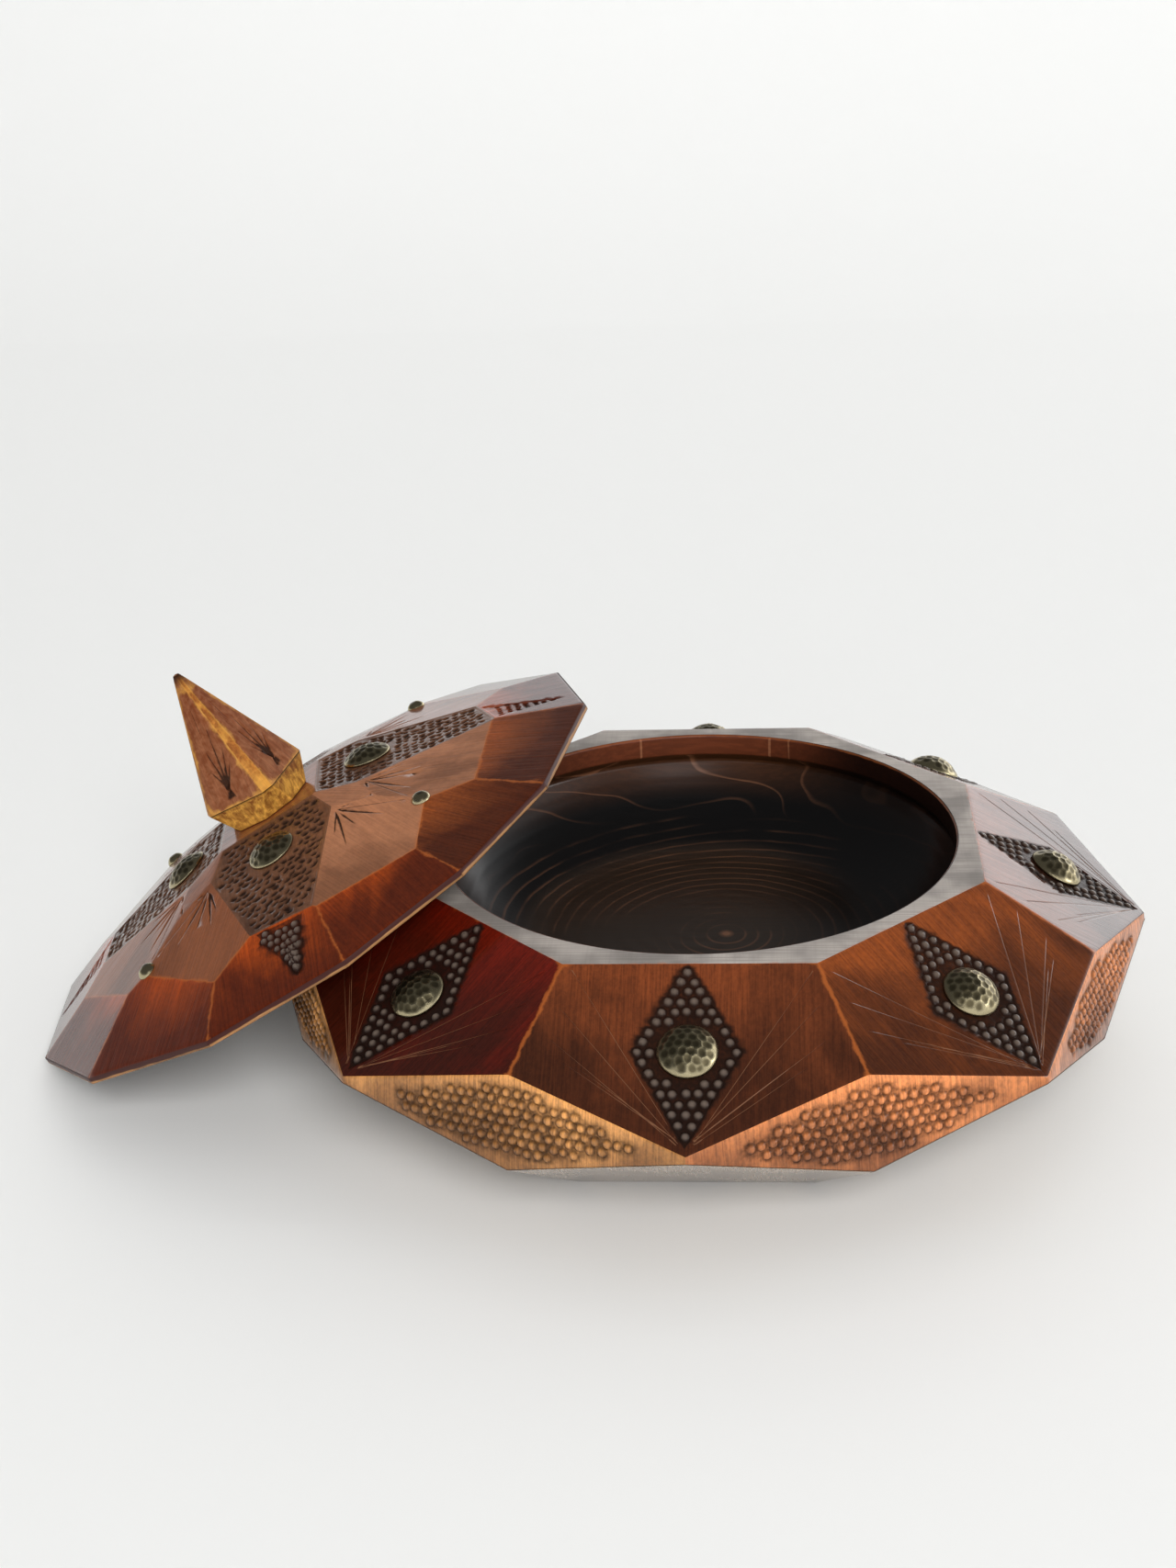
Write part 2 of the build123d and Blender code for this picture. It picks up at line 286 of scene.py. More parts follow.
# How much the stain is rubbed off where two kinds of facet meet, and elsewhere
PLAIN_WEAR = 0.3
EDGE_WEAR = {
    frozenset(("upper",)): 1.0,
    frozenset(("upper", "rim")): 0.6,
    frozenset(("upper", "middle")): 0.25,
    frozenset(("middle",)): 0.4,
    frozenset(("middle", "lower")): 0.2,
    frozenset(("lower",)): 0.4,
    frozenset(("outer",)): 0.85,
    frozenset(("outer", "flank")): 0.85,
    frozenset(("outer", "kite")): 0.5,
    frozenset(("outer", "edge")): 0.1,
    frozenset(("flank", "kite")): 0.4,
    frozenset(("flank", "diagonal")): 0.35,
    frozenset(("face", "corner")): 0.8,
    frozenset(("face", "foot")): 0.9,
    frozenset(("corner", "foot")): 0.9,
    frozenset(("foot",)): 0.8,
}


class Facet:
    """One flat face of a cut block: its corners in order and the cut beyond each side."""

    def __init__(self, kind, number, normal, corners, beyond):
        self.kind = kind
        self.number = number
        self.normal = normal
        self.corners = corners
        self.beyond = beyond

    def middle(self):
        return sum(self.corners, Vector()) / len(self.corners)


def clipped(corners, beyond, made):
    """Cuts a polygon with a plane and notes which side the plane made."""
    _, _, normal, reach = made
    heights = [normal.dot(c) - reach for c in corners]
    if max(heights) <= NEAR:
        return corners, beyond
    kept, sides = [], []
    for k, here in enumerate(corners):
        after = corners[(k + 1) % len(corners)]
        a, b = heights[k], heights[(k + 1) % len(corners)]
        if a <= NEAR:
            kept.append(here)
            if b > NEAR and a < -NEAR:
                sides.append(beyond[k])
                kept.append(here.lerp(after, a / (a - b)))
                sides.append(made)
            elif b > NEAR:
                sides.append(made)
            else:
                sides.append(beyond[k])
        elif b < -NEAR:
            kept.append(here.lerp(after, a / (a - b)))
            sides.append(beyond[k])
    return kept, sides


def block_facets(cuts):
    """Facets of what is left of a large block after all cuts."""
    facets = []
    for kind, number, normal, reach in cuts:
        side = normal.orthogonal().normalized()
        rise = normal.cross(side)
        middle = normal * reach
        ends = ((-BLOCK, -BLOCK), (BLOCK, -BLOCK), (BLOCK, BLOCK), (-BLOCK, BLOCK))
        corners = [middle + side * a + rise * b for a, b in ends]
        beyond = [None] * 4
        for other in cuts:
            if other[2] is not normal and corners:
                corners, beyond = clipped(corners, beyond, other)
        if len(corners) > 2:
            facets.append(Facet(kind, number, normal, corners, beyond))
    return facets


class Board:
    """Flat drawing board on a facet: u runs across, v runs uphill."""

    def __init__(self, normal, origin, uphill=UP):
        self.normal = normal
        self.origin = origin
        self.up = (uphill - normal * uphill.dot(normal)).normalized()
        self.across = self.up.cross(normal)

    def flat(self, point):
        away = point - self.origin
        return away.dot(self.across), away.dot(self.up)

    def solid(self, u, v, height=0.0):
        return self.origin + self.across * u + self.up * v + self.normal * height

    def under(self, point):
        """The place on the board straight under or over a point in plan."""
        lift = self.normal.dot(self.origin - point) / self.normal.z
        return self.flat(Vector((point.x, point.y, point.z + lift)))


# Carving on a board: round marks, cuts and sunk grounds
class Round(namedtuple("Round", "u v wide high turn profile stain count")):
    """A round mark: place, half widths and turn, heights by share of the radius, stain, steps."""

    @property
    def reach(self):
        return self.profile[-1][0]


Cut = namedtuple("Cut", "start end width depth belly stain")


class Carving:
    def __init__(self):
        self.rounds = []
        self.cuts = []
        self.grounds = []

    def bead(self, u, v, radius, rise, dark=0.0, around=0.95):
        # dark is the stain at the bead's middle, and above 0.95 it paints a grey sheen on the dome.
        # around is the stain at its edge and in the halo round it, gathered stain with painted shade.
        profile = ((0, rise), (0.55, 0.82 * rise), (0.88, 0.25 * rise), (1.06, -0.3 * rise))
        self.rounds.append(Round(u, v, radius, radius, 0.0, profile, (dark, around), 10))

    def pit(self, u, v, radius, depth, stretch, turn):
        profile = ((0, -depth), (0.6, -0.8 * depth), (1.0, 0))
        self.rounds.append(Round(u, v, radius * stretch, radius, turn, profile, (1.0, 0.4), 8))

    def line(self, start, end, width, depth, belly=False, stain=0.8):
        self.cuts.append(Cut(np.array(start), np.array(end), width, depth, belly, stain))

    def ground(self, corners, depth, stain):
        self.grounds.append((np.array(corners), depth, stain))


def cut_width(gouge, t):
    """Width along a cut: a belly for a gouge cut, pointed ends for a line."""
    if gouge.belly:
        return gouge.width * np.sin(np.pi * np.clip(t, 0, 1) ** 0.7)
    return gouge.width * np.clip(np.minimum(t / 0.15, (1 - t) / 0.4), 0, 1)


def side_distances(corners, points):
    """Distance of each point from each side of a polygon that runs anticlockwise, positive inside."""
    rows = []
    for k in range(len(corners)):
        a, b = corners[k], corners[(k + 1) % len(corners)]
        way = (b - a) / np.linalg.norm(b - a)
        away = points - a
        rows.append(way[0] * away[:, 1] - way[1] * away[:, 0])
    return np.array(rows)


def inside_distance(corners, points):
    """How far inside a convex polygon each point lies."""
    return side_distances(corners, points).min(0)


def depth_inside(corners, u, v):
    return inside_distance(corners, np.array([(u, v)]))[0]


def from_cut(gouge, points):
    """Distance of each point from a cut's middle line, and the place along it."""
    way = gouge.end - gouge.start
    t = np.clip((points - gouge.start) @ way / (way @ way), 0, 1)
    return np.linalg.norm(points - gouge.start - t[:, None] * way, axis=1), t


def in_mark(mark, points):
    """How far out each point lies in a round mark, as a share of its radius."""
    c, s = math.cos(mark.turn), math.sin(mark.turn)
    du, dv = points[:, 0] - mark.u, points[:, 1] - mark.v
    return np.hypot((du * c + dv * s) / mark.wide, (dv * c - du * s) / mark.high)


def relief(carving, points):
    """Height of the carving at each point, and its stain.

    The stain is 0 on plain wood, up to 1 in dark carving, more on a bead's dome where a grey
    painted sheen is put, and less than 0 in a bare line. The dark round each bead is stain that
    gathers there, with painted shade between the beads."""
    height = np.zeros(len(points))
    sunk = np.zeros(len(points))
    for corners, depth, stain in carving.grounds:
        share = np.clip(inside_distance(corners, points) / GROUND_WALL, 0, 1)
        height -= depth * share
        sunk = np.maximum(sunk, stain * share)
    shares = [in_mark(mark, points) for mark in carving.rounds]
    # Round each mark a dark halo: stain gathered in the punched ground, with painted shade between
    # close beads
    for mark, share in zip(carving.rounds, shares):
        sunk = np.maximum(sunk, mark.stain[1] * np.clip(2.1 - share, 0, 0.9))
    for mark, share in zip(carving.rounds, shares):
        near = share <= mark.reach
        stops, values = zip(*mark.profile)
        height[near] += np.interp(share[near], stops, values)
        sunk[near] = np.interp(share[near], (0.25, 1.0), mark.stain)
    for gouge in carving.cuts:
        away, t = from_cut(gouge, points)
        half = cut_width(gouge, t) / 2
        near = away < half
        share = np.zeros(len(points))
        share[near] = 1 - away[near] / half[near]
        height -= gouge.depth * share
        stained = gouge.stain * np.minimum(1, 2.5 * share)
        if gouge.stain < 0:
            sunk = np.where((share > 0) & (sunk < 0.3), np.minimum(sunk, stained), sunk)
        else:
            sunk = np.where(share > 0, np.maximum(sunk, stained), sunk)
    return height, sunk


def clear_of(carving, points):
    """Which points lie away from all marks, so that they may fill the plain surface."""
    clear = np.ones(len(points), bool)
    for corners, _, _ in carving.grounds:
        clear &= np.abs(inside_distance(corners, points)) > 2 * GROUND_WALL
    for mark in carving.rounds:
        clear &= in_mark(mark, points) > mark.reach + 0.7 / min(mark.wide, mark.high)
    for gouge in carving.cuts:
        away, _ = from_cut(gouge, points)
        clear &= away > gouge.width / 2 + 0.7
    return clear


# A skin gathers the faces of one mesh
class Skin:
    def __init__(self):
        self.points = []
        self.rub = []
        self.sunk = []
        self.faces = []
        self.finish = []
        self.grain = []
        self.fade = []
        self.tint = []

    def add_points(self, points, rub, sunk):
        first = len(self.points)
        self.points.extend(points)
        self.rub.extend(rub)
        self.sunk.extend(sunk)
        return first

    def add_face(self, corners, finish, grain, fade, tint):
        self.faces.append(corners)
        self.finish.append(finish)
        self.grain.extend(grain)
        self.fade.extend(fade)
        self.tint.extend([tint] * len(corners))

    def joined(self):
        """For each point, the first point in the same place."""
        tree = KDTree(len(self.points))
        for index, point in enumerate(self.points):
            tree.insert(point, index)
        tree.balance()
        first = list(range(len(self.points)))
        for index, point in enumerate(self.points):
            if first[index] == index:
                for _, other, _ in tree.find_range(point, NEAR):
                    if other > index:
                        first[other] = index
        return first

    def mesh(self, name, finishes, place=Matrix()):
        """Makes the mesh object, in metres and in the part's frame."""
        first = self.joined()
        used = {}
        faces, finish, keep = [], [], []
        corner = 0
        for face, slot in zip(self.faces, self.finish):
            met = [first[i] for i in face]
            if len(set(met)) == len(met):
                faces.append([used.setdefault(i, len(used)) for i in met])
                finish.append(slot)
                keep.extend(range(corner, corner + len(face)))
            corner += len(face)
        order = list(used)
        mesh = bpy.data.meshes.new(name)
        move = place @ Matrix.Scale(MM, 4)
        mesh.from_pydata([move @ self.points[i] for i in order], [], faces)
        mesh.polygons.foreach_set("material_index", finish)
        mesh.polygons.foreach_set("use_smooth", [True] * len(faces))
        write_values(mesh, "rub", "FLOAT", "POINT", [self.rub[i] for i in order])
        write_values(mesh, "sunk", "FLOAT", "POINT", [self.sunk[i] for i in order])
        write_values(mesh, "fade", "FLOAT", "CORNER", [self.fade[i] for i in keep])
        write_values(mesh, "grain", "FLOAT_VECTOR", "CORNER", [self.grain[i] for i in keep])
        write_values(mesh, "tint", "FLOAT_COLOR", "CORNER", [(*self.tint[i], 1) for i in keep])
        for made in finishes:
            mesh.materials.append(made)
        mesh.update()
        made = bpy.data.objects.new(name, mesh)
        bpy.context.scene.collection.objects.link(made)
        return made


def write_values(mesh, name, kind, domain, values):
    """Stores one value for each point or corner of the mesh."""
    field = {"FLOAT": "value", "FLOAT_VECTOR": "vector", "FLOAT_COLOR": "color"}[kind]
    stored = mesh.attributes.new(name, kind, domain)
    stored.data.foreach_set(field, np.array(values, np.float32).ravel())


def steps_between(start, end, step):
    """Points from start up to end, end left out, in equal steps."""
    count = max(1, round((end - start).length / step))
    return [start.lerp(end, i / count) for i in range(count)]


def inset(corners, depth):
    """Corners of a convex polygon moved inwards, or nothing if a side would vanish."""
    moved = []
    count = len(corners)
    ways = [(corners[(k + 1) % count] - corners[k]).normalized() for k in range(count)]
    for k in range(count):
        before, after = ways[k - 1], ways[k]
        turn = before.cross(after)
        if abs(turn) < 1e-3:
            moved.append(corners[k] + Vector((-after.y, after.x)) * depth)
        else:
            moved.append(corners[k] + (after - before) * (depth / turn))
    for k in range(count):
        if (moved[(k + 1) % count] - moved[k]).dot(ways[k]) < 0.05:
            return None
    return moved


def rounding(normals, width):
    """How far the meeting line or corner of flat faces is rubbed down, and which way."""
    turn = max(a.angle(b) for a in normals for b in normals)
    return -sum(normals, Vector()).normalized() * (0.45 * width * math.tan(turn / 2))


class Drawing:
    """Points and fixed lines that a facet's mesh is drawn through."""

    def __init__(self):
        self.points = []
        self.lines = []

    def path(self, points, closed):
        first = len(self.points)
        self.points.extend((float(p[0]), float(p[1])) for p in points)
        count = len(points)
        self.lines.extend((first + i, first + i + 1) for i in range(count - 1))
        if closed:
            self.lines.append((first + count - 1, first))


def draw_marks(drawing, carving):
    """Adds the lines that grounds, round marks and cuts need in the mesh."""
    for corners, _, _ in carving.grounds:
        flat = [Vector(c) for c in corners]
        for moved in (flat, inset(flat, GROUND_WALL)):
            if moved:
                ring = []
                for k in range(len(moved)):
                    ring += steps_between(moved[k], moved[(k + 1) % len(moved)], 2.4)
                drawing.path(ring, True)
    draw_rounds(drawing, carving.rounds)
    for gouge in carving.cuts:
        draw_cut(drawing, gouge)


def draw_rounds(drawing, marks):
    """Adds the middle and rings of each round mark, and a guard ring where it is free."""
    around = [np.empty((0, 2))]
    for mark in marks:
        c, s = math.cos(mark.turn), math.sin(mark.turn)
        drawing.points.append((mark.u, mark.v))
        for share, _ in mark.profile[1:]:
            ring = []
            for i in range(mark.count):
                a = 2 * math.pi * (i + share) / mark.count
                x, y = share * mark.wide * math.cos(a), share * mark.high * math.sin(a)
                ring.append((mark.u + x * c - y * s, mark.v + x * s + y * c))
            drawing.path(ring, False)
        share = mark.reach + GUARD / mark.wide
        for i in range(mark.count):
            a = 2 * math.pi * i / mark.count + mark.turn
            x, y = share * mark.wide * math.cos(a), share * mark.high * math.sin(a)
            around.append([(mark.u + x, mark.v + y)])
    around = np.concatenate(around)
    free = np.ones(len(around), bool)
    for mark in marks:
        free &= in_mark(mark, around) > mark.reach + 0.1
    drawing.points.extend(map(tuple, around[free].tolist()))


def draw_cut(drawing, gouge):
    """Adds a cut's middle line, its two sides and a guard line beyond each."""
    a, b = gouge.start, gouge.end
    reach = np.linalg.norm(b - a)
    side = np.array((a[1] - b[1], b[0] - a[0])) / reach
    places = np.linspace(0, 1, max(4, round(reach / 2.2)))
    widths = cut_width(gouge, places)
    middle = [a + (b - a) * t for t in places]
    drawing.path(middle, False)
    for sign in (-1, 1):
        drawing.path([m + side * sign * w / 2 for m, w in zip(middle[1:-1], widths[1:-1])], False)
        drawing.path([m + side * sign * (w / 2 + GUARD) for m, w in zip(middle, widths)], False)


def border_places(facet, step):
    """Points along a facet's outline, each with its side and whether it is that side's corner."""
    places = []
    for k, corner in enumerate(facet.corners):
        side = steps_between(corner, facet.corners[(k + 1) % len(facet.corners)], step)
        places += [(point, k, i == 0) for i, point in enumerate(side)]
    return places


def draw_rims(drawing, flat, edge, step):
    """Adds the lines inside an outline that carry the rounding of its edges."""
    count = len(flat)
    for depth in (0.4 * edge, edge, 2 * edge):
        moved = inset(flat, depth)
        if moved:
            ring = []
            for k in range(count):
                steps = max(1, round((flat[(k + 1) % count] - flat[k]).length / step))
                ring += [moved[k].lerp(moved[(k + 1) % count], i / steps) for i in range(steps)]
            drawing.path(ring, True)


def draw_hole(drawing, board, radius, ring):
    """Adds the edge of a round hole and two wider rings."""
    drawing.path([board.flat(p) for p in ring], True)
    for more in (0.5, 1.4):
        wider = [p * ((radius + more) / radius) for p in ring]
        rings = [board.flat(Vector((w.x, w.y, p.z))) for w, p in zip(wider, ring)]
        drawing.path(rings[::2], True)


def fill_places(flat, step, luck):
    """Shaken pattern of triangles over the box round a facet."""
    left, low = min(c.x for c in flat), min(c.y for c in flat)
    rows = int((max(c.y for c in flat) - low) / (step * ROW)) + 1
    columns = int((max(c.x for c in flat) - left) / step) + 1
    fill = []
    for row in range(rows):
        for column in range(columns):
            u = left + step * (column + 0.5 * (row % 2) + luck.uniform(-0.2, 0.2))
            fill.append((u, low + step * (ROW * row + luck.uniform(-0.2, 0.2))))
    return np.array(fill)


def edge_ways(facet, edge):
    """For each side of a facet, how its rounding moves the surface and how worn it is."""
    ways = []
    for beyond in facet.beyond:
        if beyond is None:
            ways.append((Vector(), 0.0))
        else:
            wear = EDGE_WEAR.get(frozenset((facet.kind, beyond[0])), PLAIN_WEAR)
            ways.append((rounding([facet.normal, beyond[2]], edge), wear))
    return ways


def border_point(facet, edge, point, side, corner):
    """A point of a facet's outline, rounded as its neighbours round it."""
    beyonds = [facet.beyond[side], facet.beyond[side - 1]] if corner else [facet.beyond[side]]
    normals = [facet.normal] + [beyond[2] for beyond in beyonds if beyond is not None]
    return point + (rounding(normals, edge) if len(normals) > 1 else Vector())


def patch(skin, facet, board, carving, finish, tint, seed, hole=None, step=2.0, edge=0.8):
    """Meshes one facet with its carving, and rounds its edges so that neighbours still meet."""
    tint = tuple(tint)
    flat = [Vector(board.flat(c)) for c in facet.corners]
    outline = np.array([tuple(c) for c in flat])
    axis = np.array(board.flat(Vector((0, 0, board.origin.z))))
    places = border_places(facet, step)
    drawing = Drawing()
    drawing.path([board.flat(p) for p, _, _ in places], True)
    border = len(drawing.points)
    draw_rims(drawing, flat, edge, step)
    if hole:
        draw_hole(drawing, board, *hole)
    draw_marks(drawing, carving)
    fill = fill_places(flat, step, random.Random(seed))
    keep = (inside_distance(outline, fill) > 2 * edge + 0.5) & clear_of(carving, fill)
    if hole:
        keep &= np.linalg.norm(fill - axis, axis=1) > hole[0] + 2.0
    drawing.points.extend(map(tuple, fill[keep].tolist()))

    drawn = [Vector(p) for p in drawing.points]
    met, _, faces, sources, _, _ = delaunay_2d_cdt(drawn, drawing.lines, [], 1, 1e-4)
    spots = np.array([tuple(p) for p in met])
    height, sunk = relief(carving, spots)
    ways = edge_ways(facet, edge)
    points, rub = [], []
    for i, depths in enumerate(side_distances(outline, spots).T):
        on_border = [j for j in sources[i] if j < border]
        if on_border:
            points.append(border_point(facet, edge, *places[on_border[0]]))
        else:
            point = board.solid(*spots[i], height[i])
            for (way, _), depth in zip(ways, depths):
                share = 1 - depth / edge
                if share > 0:
                    point = point + way * share * share
            points.append(point)
        worn = max((1 - depth / WORN_STRIP) * wear for (_, wear), depth in zip(ways, depths))
        rub.append(max(0.0, min(1.0, worn)))
    first = skin.add_points(points, rub, sunk.tolist())
    top = outline[:, 1].max()
    span = max(1.0, top - outline[:, 1].min())
    for face in faces:
        if hole and np.linalg.norm(spots[list(face)].mean(0) - axis) < hole[0] - 0.01:
            continue
        grain = [(spots[i][0] * MM, spots[i][1] * MM, GRAIN_SHIFT * seed) for i in face]
        fade = [(top - spots[i][1]) / span for i in face]
        skin.add_face([first + i for i in face], finish, grain, fade, tint)


def turned_ring(radius, height):
    return [spot(radius, 2 * math.pi * i / TURNED_STEPS, height) for i in range(TURNED_STEPS)]


def turned_rings(skin, outline, finish, tint, up=True):
    """Surface of revolution through (radius, height, rub) rings, seen from inside or outside."""
    tint = tuple(tint)
    rings = []
    for radius, height, rub in outline:
        if radius == 0:
            rings.append([skin.add_points([Vector((0, 0, height))], [rub], [0.0])] * TURNED_STEPS)
            continue
        ring = turned_ring(radius, height)
        first = skin.add_points(ring, [rub] * TURNED_STEPS, [0.0] * TURNED_STEPS)
        rings.append([first + i for i in range(TURNED_STEPS)])
    for k, (near, far) in enumerate(zip(rings, rings[1:])):
        share = k / (len(rings) - 1)
        for i in range(TURNED_STEPS):
            j = (i + 1) % TURNED_STEPS
            corners = [near[i], near[j], far[j], far[i]]
            if not up:
                corners.reverse()
            corners = list(dict.fromkeys(corners))
            grain = [tuple(skin.points[c] * MM) for c in corners]
            skin.add_face(corners, finish, grain, [share] * len(corners), tint)


# Shader nodes
class Nodes:
    """Writes nodes and links of one tree in few words."""

    def __init__(self, tree):
        self.tree = tree
        self.column = 0

    def add(self, kind, **values):
        node = self.tree.nodes.new(kind)
        self.column += 1
        node.location = (180 * (self.column % 12), -220 * (self.column // 12))
        for name, value in values.items():
            setattr(node, name, value)
        return node

    def put(self, socket, value):
        """Links a socket or sets its value."""
        if isinstance(value, bpy.types.NodeSocket):
            self.tree.links.new(value, socket)
        elif value is not None:
            socket.default_value = value

    def math(self, operation, a, b=None, c=None, clamp=False):
        node = self.add("ShaderNodeMath", operation=operation, use_clamp=clamp)
        for socket, value in zip(node.inputs, (a, b, c)):
            self.put(socket, value)
        return node.outputs[0]

    def times(self, a, b, clamp=False):
        return self.math("MULTIPLY", a, b, clamp=clamp)

    def scaled(self, vector, scale):
        node = self.add("ShaderNodeVectorMath", operation="MULTIPLY")
        self.put(node.inputs[0], vector)
        self.put(node.inputs[1], scale)
        return node.outputs[0]

    def noise(self, vector, scale, detail=3.0, roughness=0.55, distortion=0.0):
        node = self.add("ShaderNodeTexNoise", noise_dimensions="3D")
        self.put(node.inputs["Vector"], vector)
        self.put(node.inputs["Scale"], scale)
        self.put(node.inputs["Detail"], detail)
        self.put(node.inputs["Roughness"], roughness)
        self.put(node.inputs["Distortion"], distortion)
        return node.outputs["Fac"]

    def ramp(self, value, low, high, start=0.0, end=1.0):
        """Maps low..high to start..end with soft ends."""
        node = self.add("ShaderNodeMapRange", interpolation_type="SMOOTHSTEP")
        for socket, given in zip(node.inputs, (value, low, high, start, end)):
            self.put(socket, given)
        return node.outputs["Result"]

    def mix(self, share, a, b, blend="MIX"):
        node = self.add("ShaderNodeMix", data_type="RGBA", blend_type=blend)
        self.put(node.inputs["Factor"], share)
        for socket, value in ((node.inputs[6], a), (node.inputs[7], b)):
            self.put(socket, value if isinstance(value, bpy.types.NodeSocket) else (*value, 1))
        return node.outputs[2]

    def tinted(self, base, factors):
        """A colour made lighter or darker by a factor for each channel."""
        return self.mix(1.0, base, factors, "MULTIPLY")

    def stripe(self, value, rise, full, fading, gone):
        """A band that comes up from rise to full and goes down from fading to gone."""
        return self.times(self.ramp(value, rise, full), self.ramp(value, gone, fading))

    def split(self, vector):
        node = self.add("ShaderNodeSeparateXYZ")
        self.put(node.inputs[0], vector)
        return node.outputs

    def attribute(self, name, output="Fac"):
        return self.add("ShaderNodeAttribute", attribute_name=name).outputs[output]

    def bump(self, height, strength, distance, normal=None):
        node = self.add("ShaderNodeBump")
        self.put(node.inputs["Height"], height)
        node.inputs["Strength"].default_value = strength
        node.inputs["Distance"].default_value = distance
        self.put(node.inputs["Normal"], normal)
        return node.outputs["Normal"]

    def group(self, tree, **values):
        node = self.add("ShaderNodeGroup", node_tree=tree)
        for name, value in values.items():
            self.put(node.inputs[name.replace("_", " ").capitalize()], value)
        return node.outputs


def new_group(name, inputs, outputs):
    """An empty shader group with its sockets: (kind, name, default) and (kind, name)."""
    tree = bpy.data.node_groups.new(name, "ShaderNodeTree")
    for kind, label, default in inputs:
        made = tree.interface.new_socket(label, in_out="INPUT", socket_type=kind)
        if default is not None:
            made.default_value = default
    for kind, label in outputs:
        tree.interface.new_socket(label, in_out="OUTPUT", socket_type=kind)
    nodes = Nodes(tree)
    return tree, nodes, nodes.add("NodeGroupInput").outputs, nodes.add("NodeGroupOutput").inputs


def planed_grain():
    """Fibres, streaks, blotches and specks of planed wood, running along the board's v."""
    if "planed grain" in bpy.data.node_groups:
        return bpy.data.node_groups["planed grain"]
    masks = ("Streaks", "Fibres", "Blotch", "Speck")
    tree, n, inside, out = new_group(
        "planed grain",
        [("NodeSocketVector", "Place", None)],
        [("NodeSocketFloat", name) for name in masks],
    )
    place = inside["Place"]
    soft = n.noise(n.scaled(place, (420, 26, 1)), 1.0, 4.0, 0.6, 0.3)
    fine = n.noise(n.scaled(place, (2300, 70, 1)), 1.0, 3.0, 0.6)
    wide = n.noise(n.scaled(place, (44, 36, 1)), 1.0, 3.0, 0.55, 0.8)
    dots = n.noise(n.scaled(place, (1500, 900, 1)), 1.0, 2.0, 0.6)
    n.put(out["Streaks"], n.ramp(soft, 0.3, 0.7))
    n.put(out["Fibres"], n.ramp(fine, 0.36, 0.62))
    n.put(out["Blotch"], n.ramp(wide, 0.34, 0.68))
    n.put(out["Speck"], n.ramp(dots, 0.36, 0.64))
    return tree


def rubbed_edge():
    """Mask of worn edges, broken up by noise."""
    if "rubbed edge" in bpy.data.node_groups:
        return bpy.data.node_groups["rubbed edge"]
    tree, n, inside, out = new_group(
        "rubbed edge",
        [
            ("NodeSocketVector", "Place", None),
            ("NodeSocketFloat", "Rub", 0.0),
            ("NodeSocketFloat", "Wear", 0.5),
        ],
        [("NodeSocketFloat", "Mask")],
    )
    broken = n.noise(n.scaled(inside["Place"], (260, 260, 90)), 1.0, 4.0, 0.65)
    lifted = n.math("MULTIPLY_ADD", n.math("SUBTRACT", broken, 0.5), 1.5, inside["Rub"])
    worn = n.ramp(lifted, 0.45, 0.95)
    n.put(out["Mask"], n.math("MULTIPLY", worn, inside["Wear"], clamp=True))
    return tree


def punched_stain_and_shade():
    """Mask of dark stain in carving, with the painted shade round the beads."""
    if "punched stain and shade" in bpy.data.node_groups:
        return bpy.data.node_groups["punched stain and shade"]
    tree, n, inside, out = new_group(
        "punched stain and shade",
        [("NodeSocketVector", "Place", None), ("NodeSocketFloat", "Sunk", 0.0)],
        [("NodeSocketFloat", "Mask")],
    )
    broken = n.noise(n.scaled(inside["Place"], (900, 900, 90)), 1.0, 2.0)
    lifted = n.math("MULTIPLY_ADD", n.math("SUBTRACT", broken, 0.5), 0.5, inside["Sunk"])
    n.put(out["Mask"], n.ramp(lifted, 0.12, 0.85))
    return tree


def new_material(name):
    material = bpy.data.materials.new(name)
    material.use_nodes = True
    material.node_tree.nodes.clear()
    nodes = Nodes(material.node_tree)
    shader = nodes.add("ShaderNodeBsdfPrincipled")
    output = nodes.add("ShaderNodeOutputMaterial")
    nodes.put(output.inputs["Surface"], shader.outputs["BSDF"])
    return material, nodes, shader.inputs


def made_once(build):
    """A finish is built the first time it is asked for, and then used again."""

    def finish(name, *values, **named):
        return bpy.data.materials.get(name) or build(name, *values, **named)

    return finish


def rubbed_bare(n, base, place, wear, bare):
    """Shows another colour where the edges are rubbed."""
    mask = n.group(rubbed_edge(), place=place, rub=n.attribute("rub"), wear=wear)["Mask"]
    return n.mix(mask, base, bare)


def varnish(shader, coat_roughness, specular, coat=None):
    """The gloss of a finish. A coat that changes over the surface is linked elsewhere."""
    shader["Coat Roughness"].default_value = coat_roughness
    shader["Specular IOR Level"].default_value = specular
    if coat is not None:
        shader["Coat Weight"].default_value = coat


# Darkest wood in the dish under the lid
DISH_SHADE = (0.003, 0.0025, 0.003)

# Factors on a stain where it gathers, glows at the top of a facet, or shows light or dark fibres
GATHERED = (0.4, 0.36, 0.34)
TOP_GLOW = (1.55, 1.42, 1.15)
LIGHT_FIBRE = (1.75, 1.65, 1.5)
DARK_FIBRE = (0.42, 0.38, 0.36)


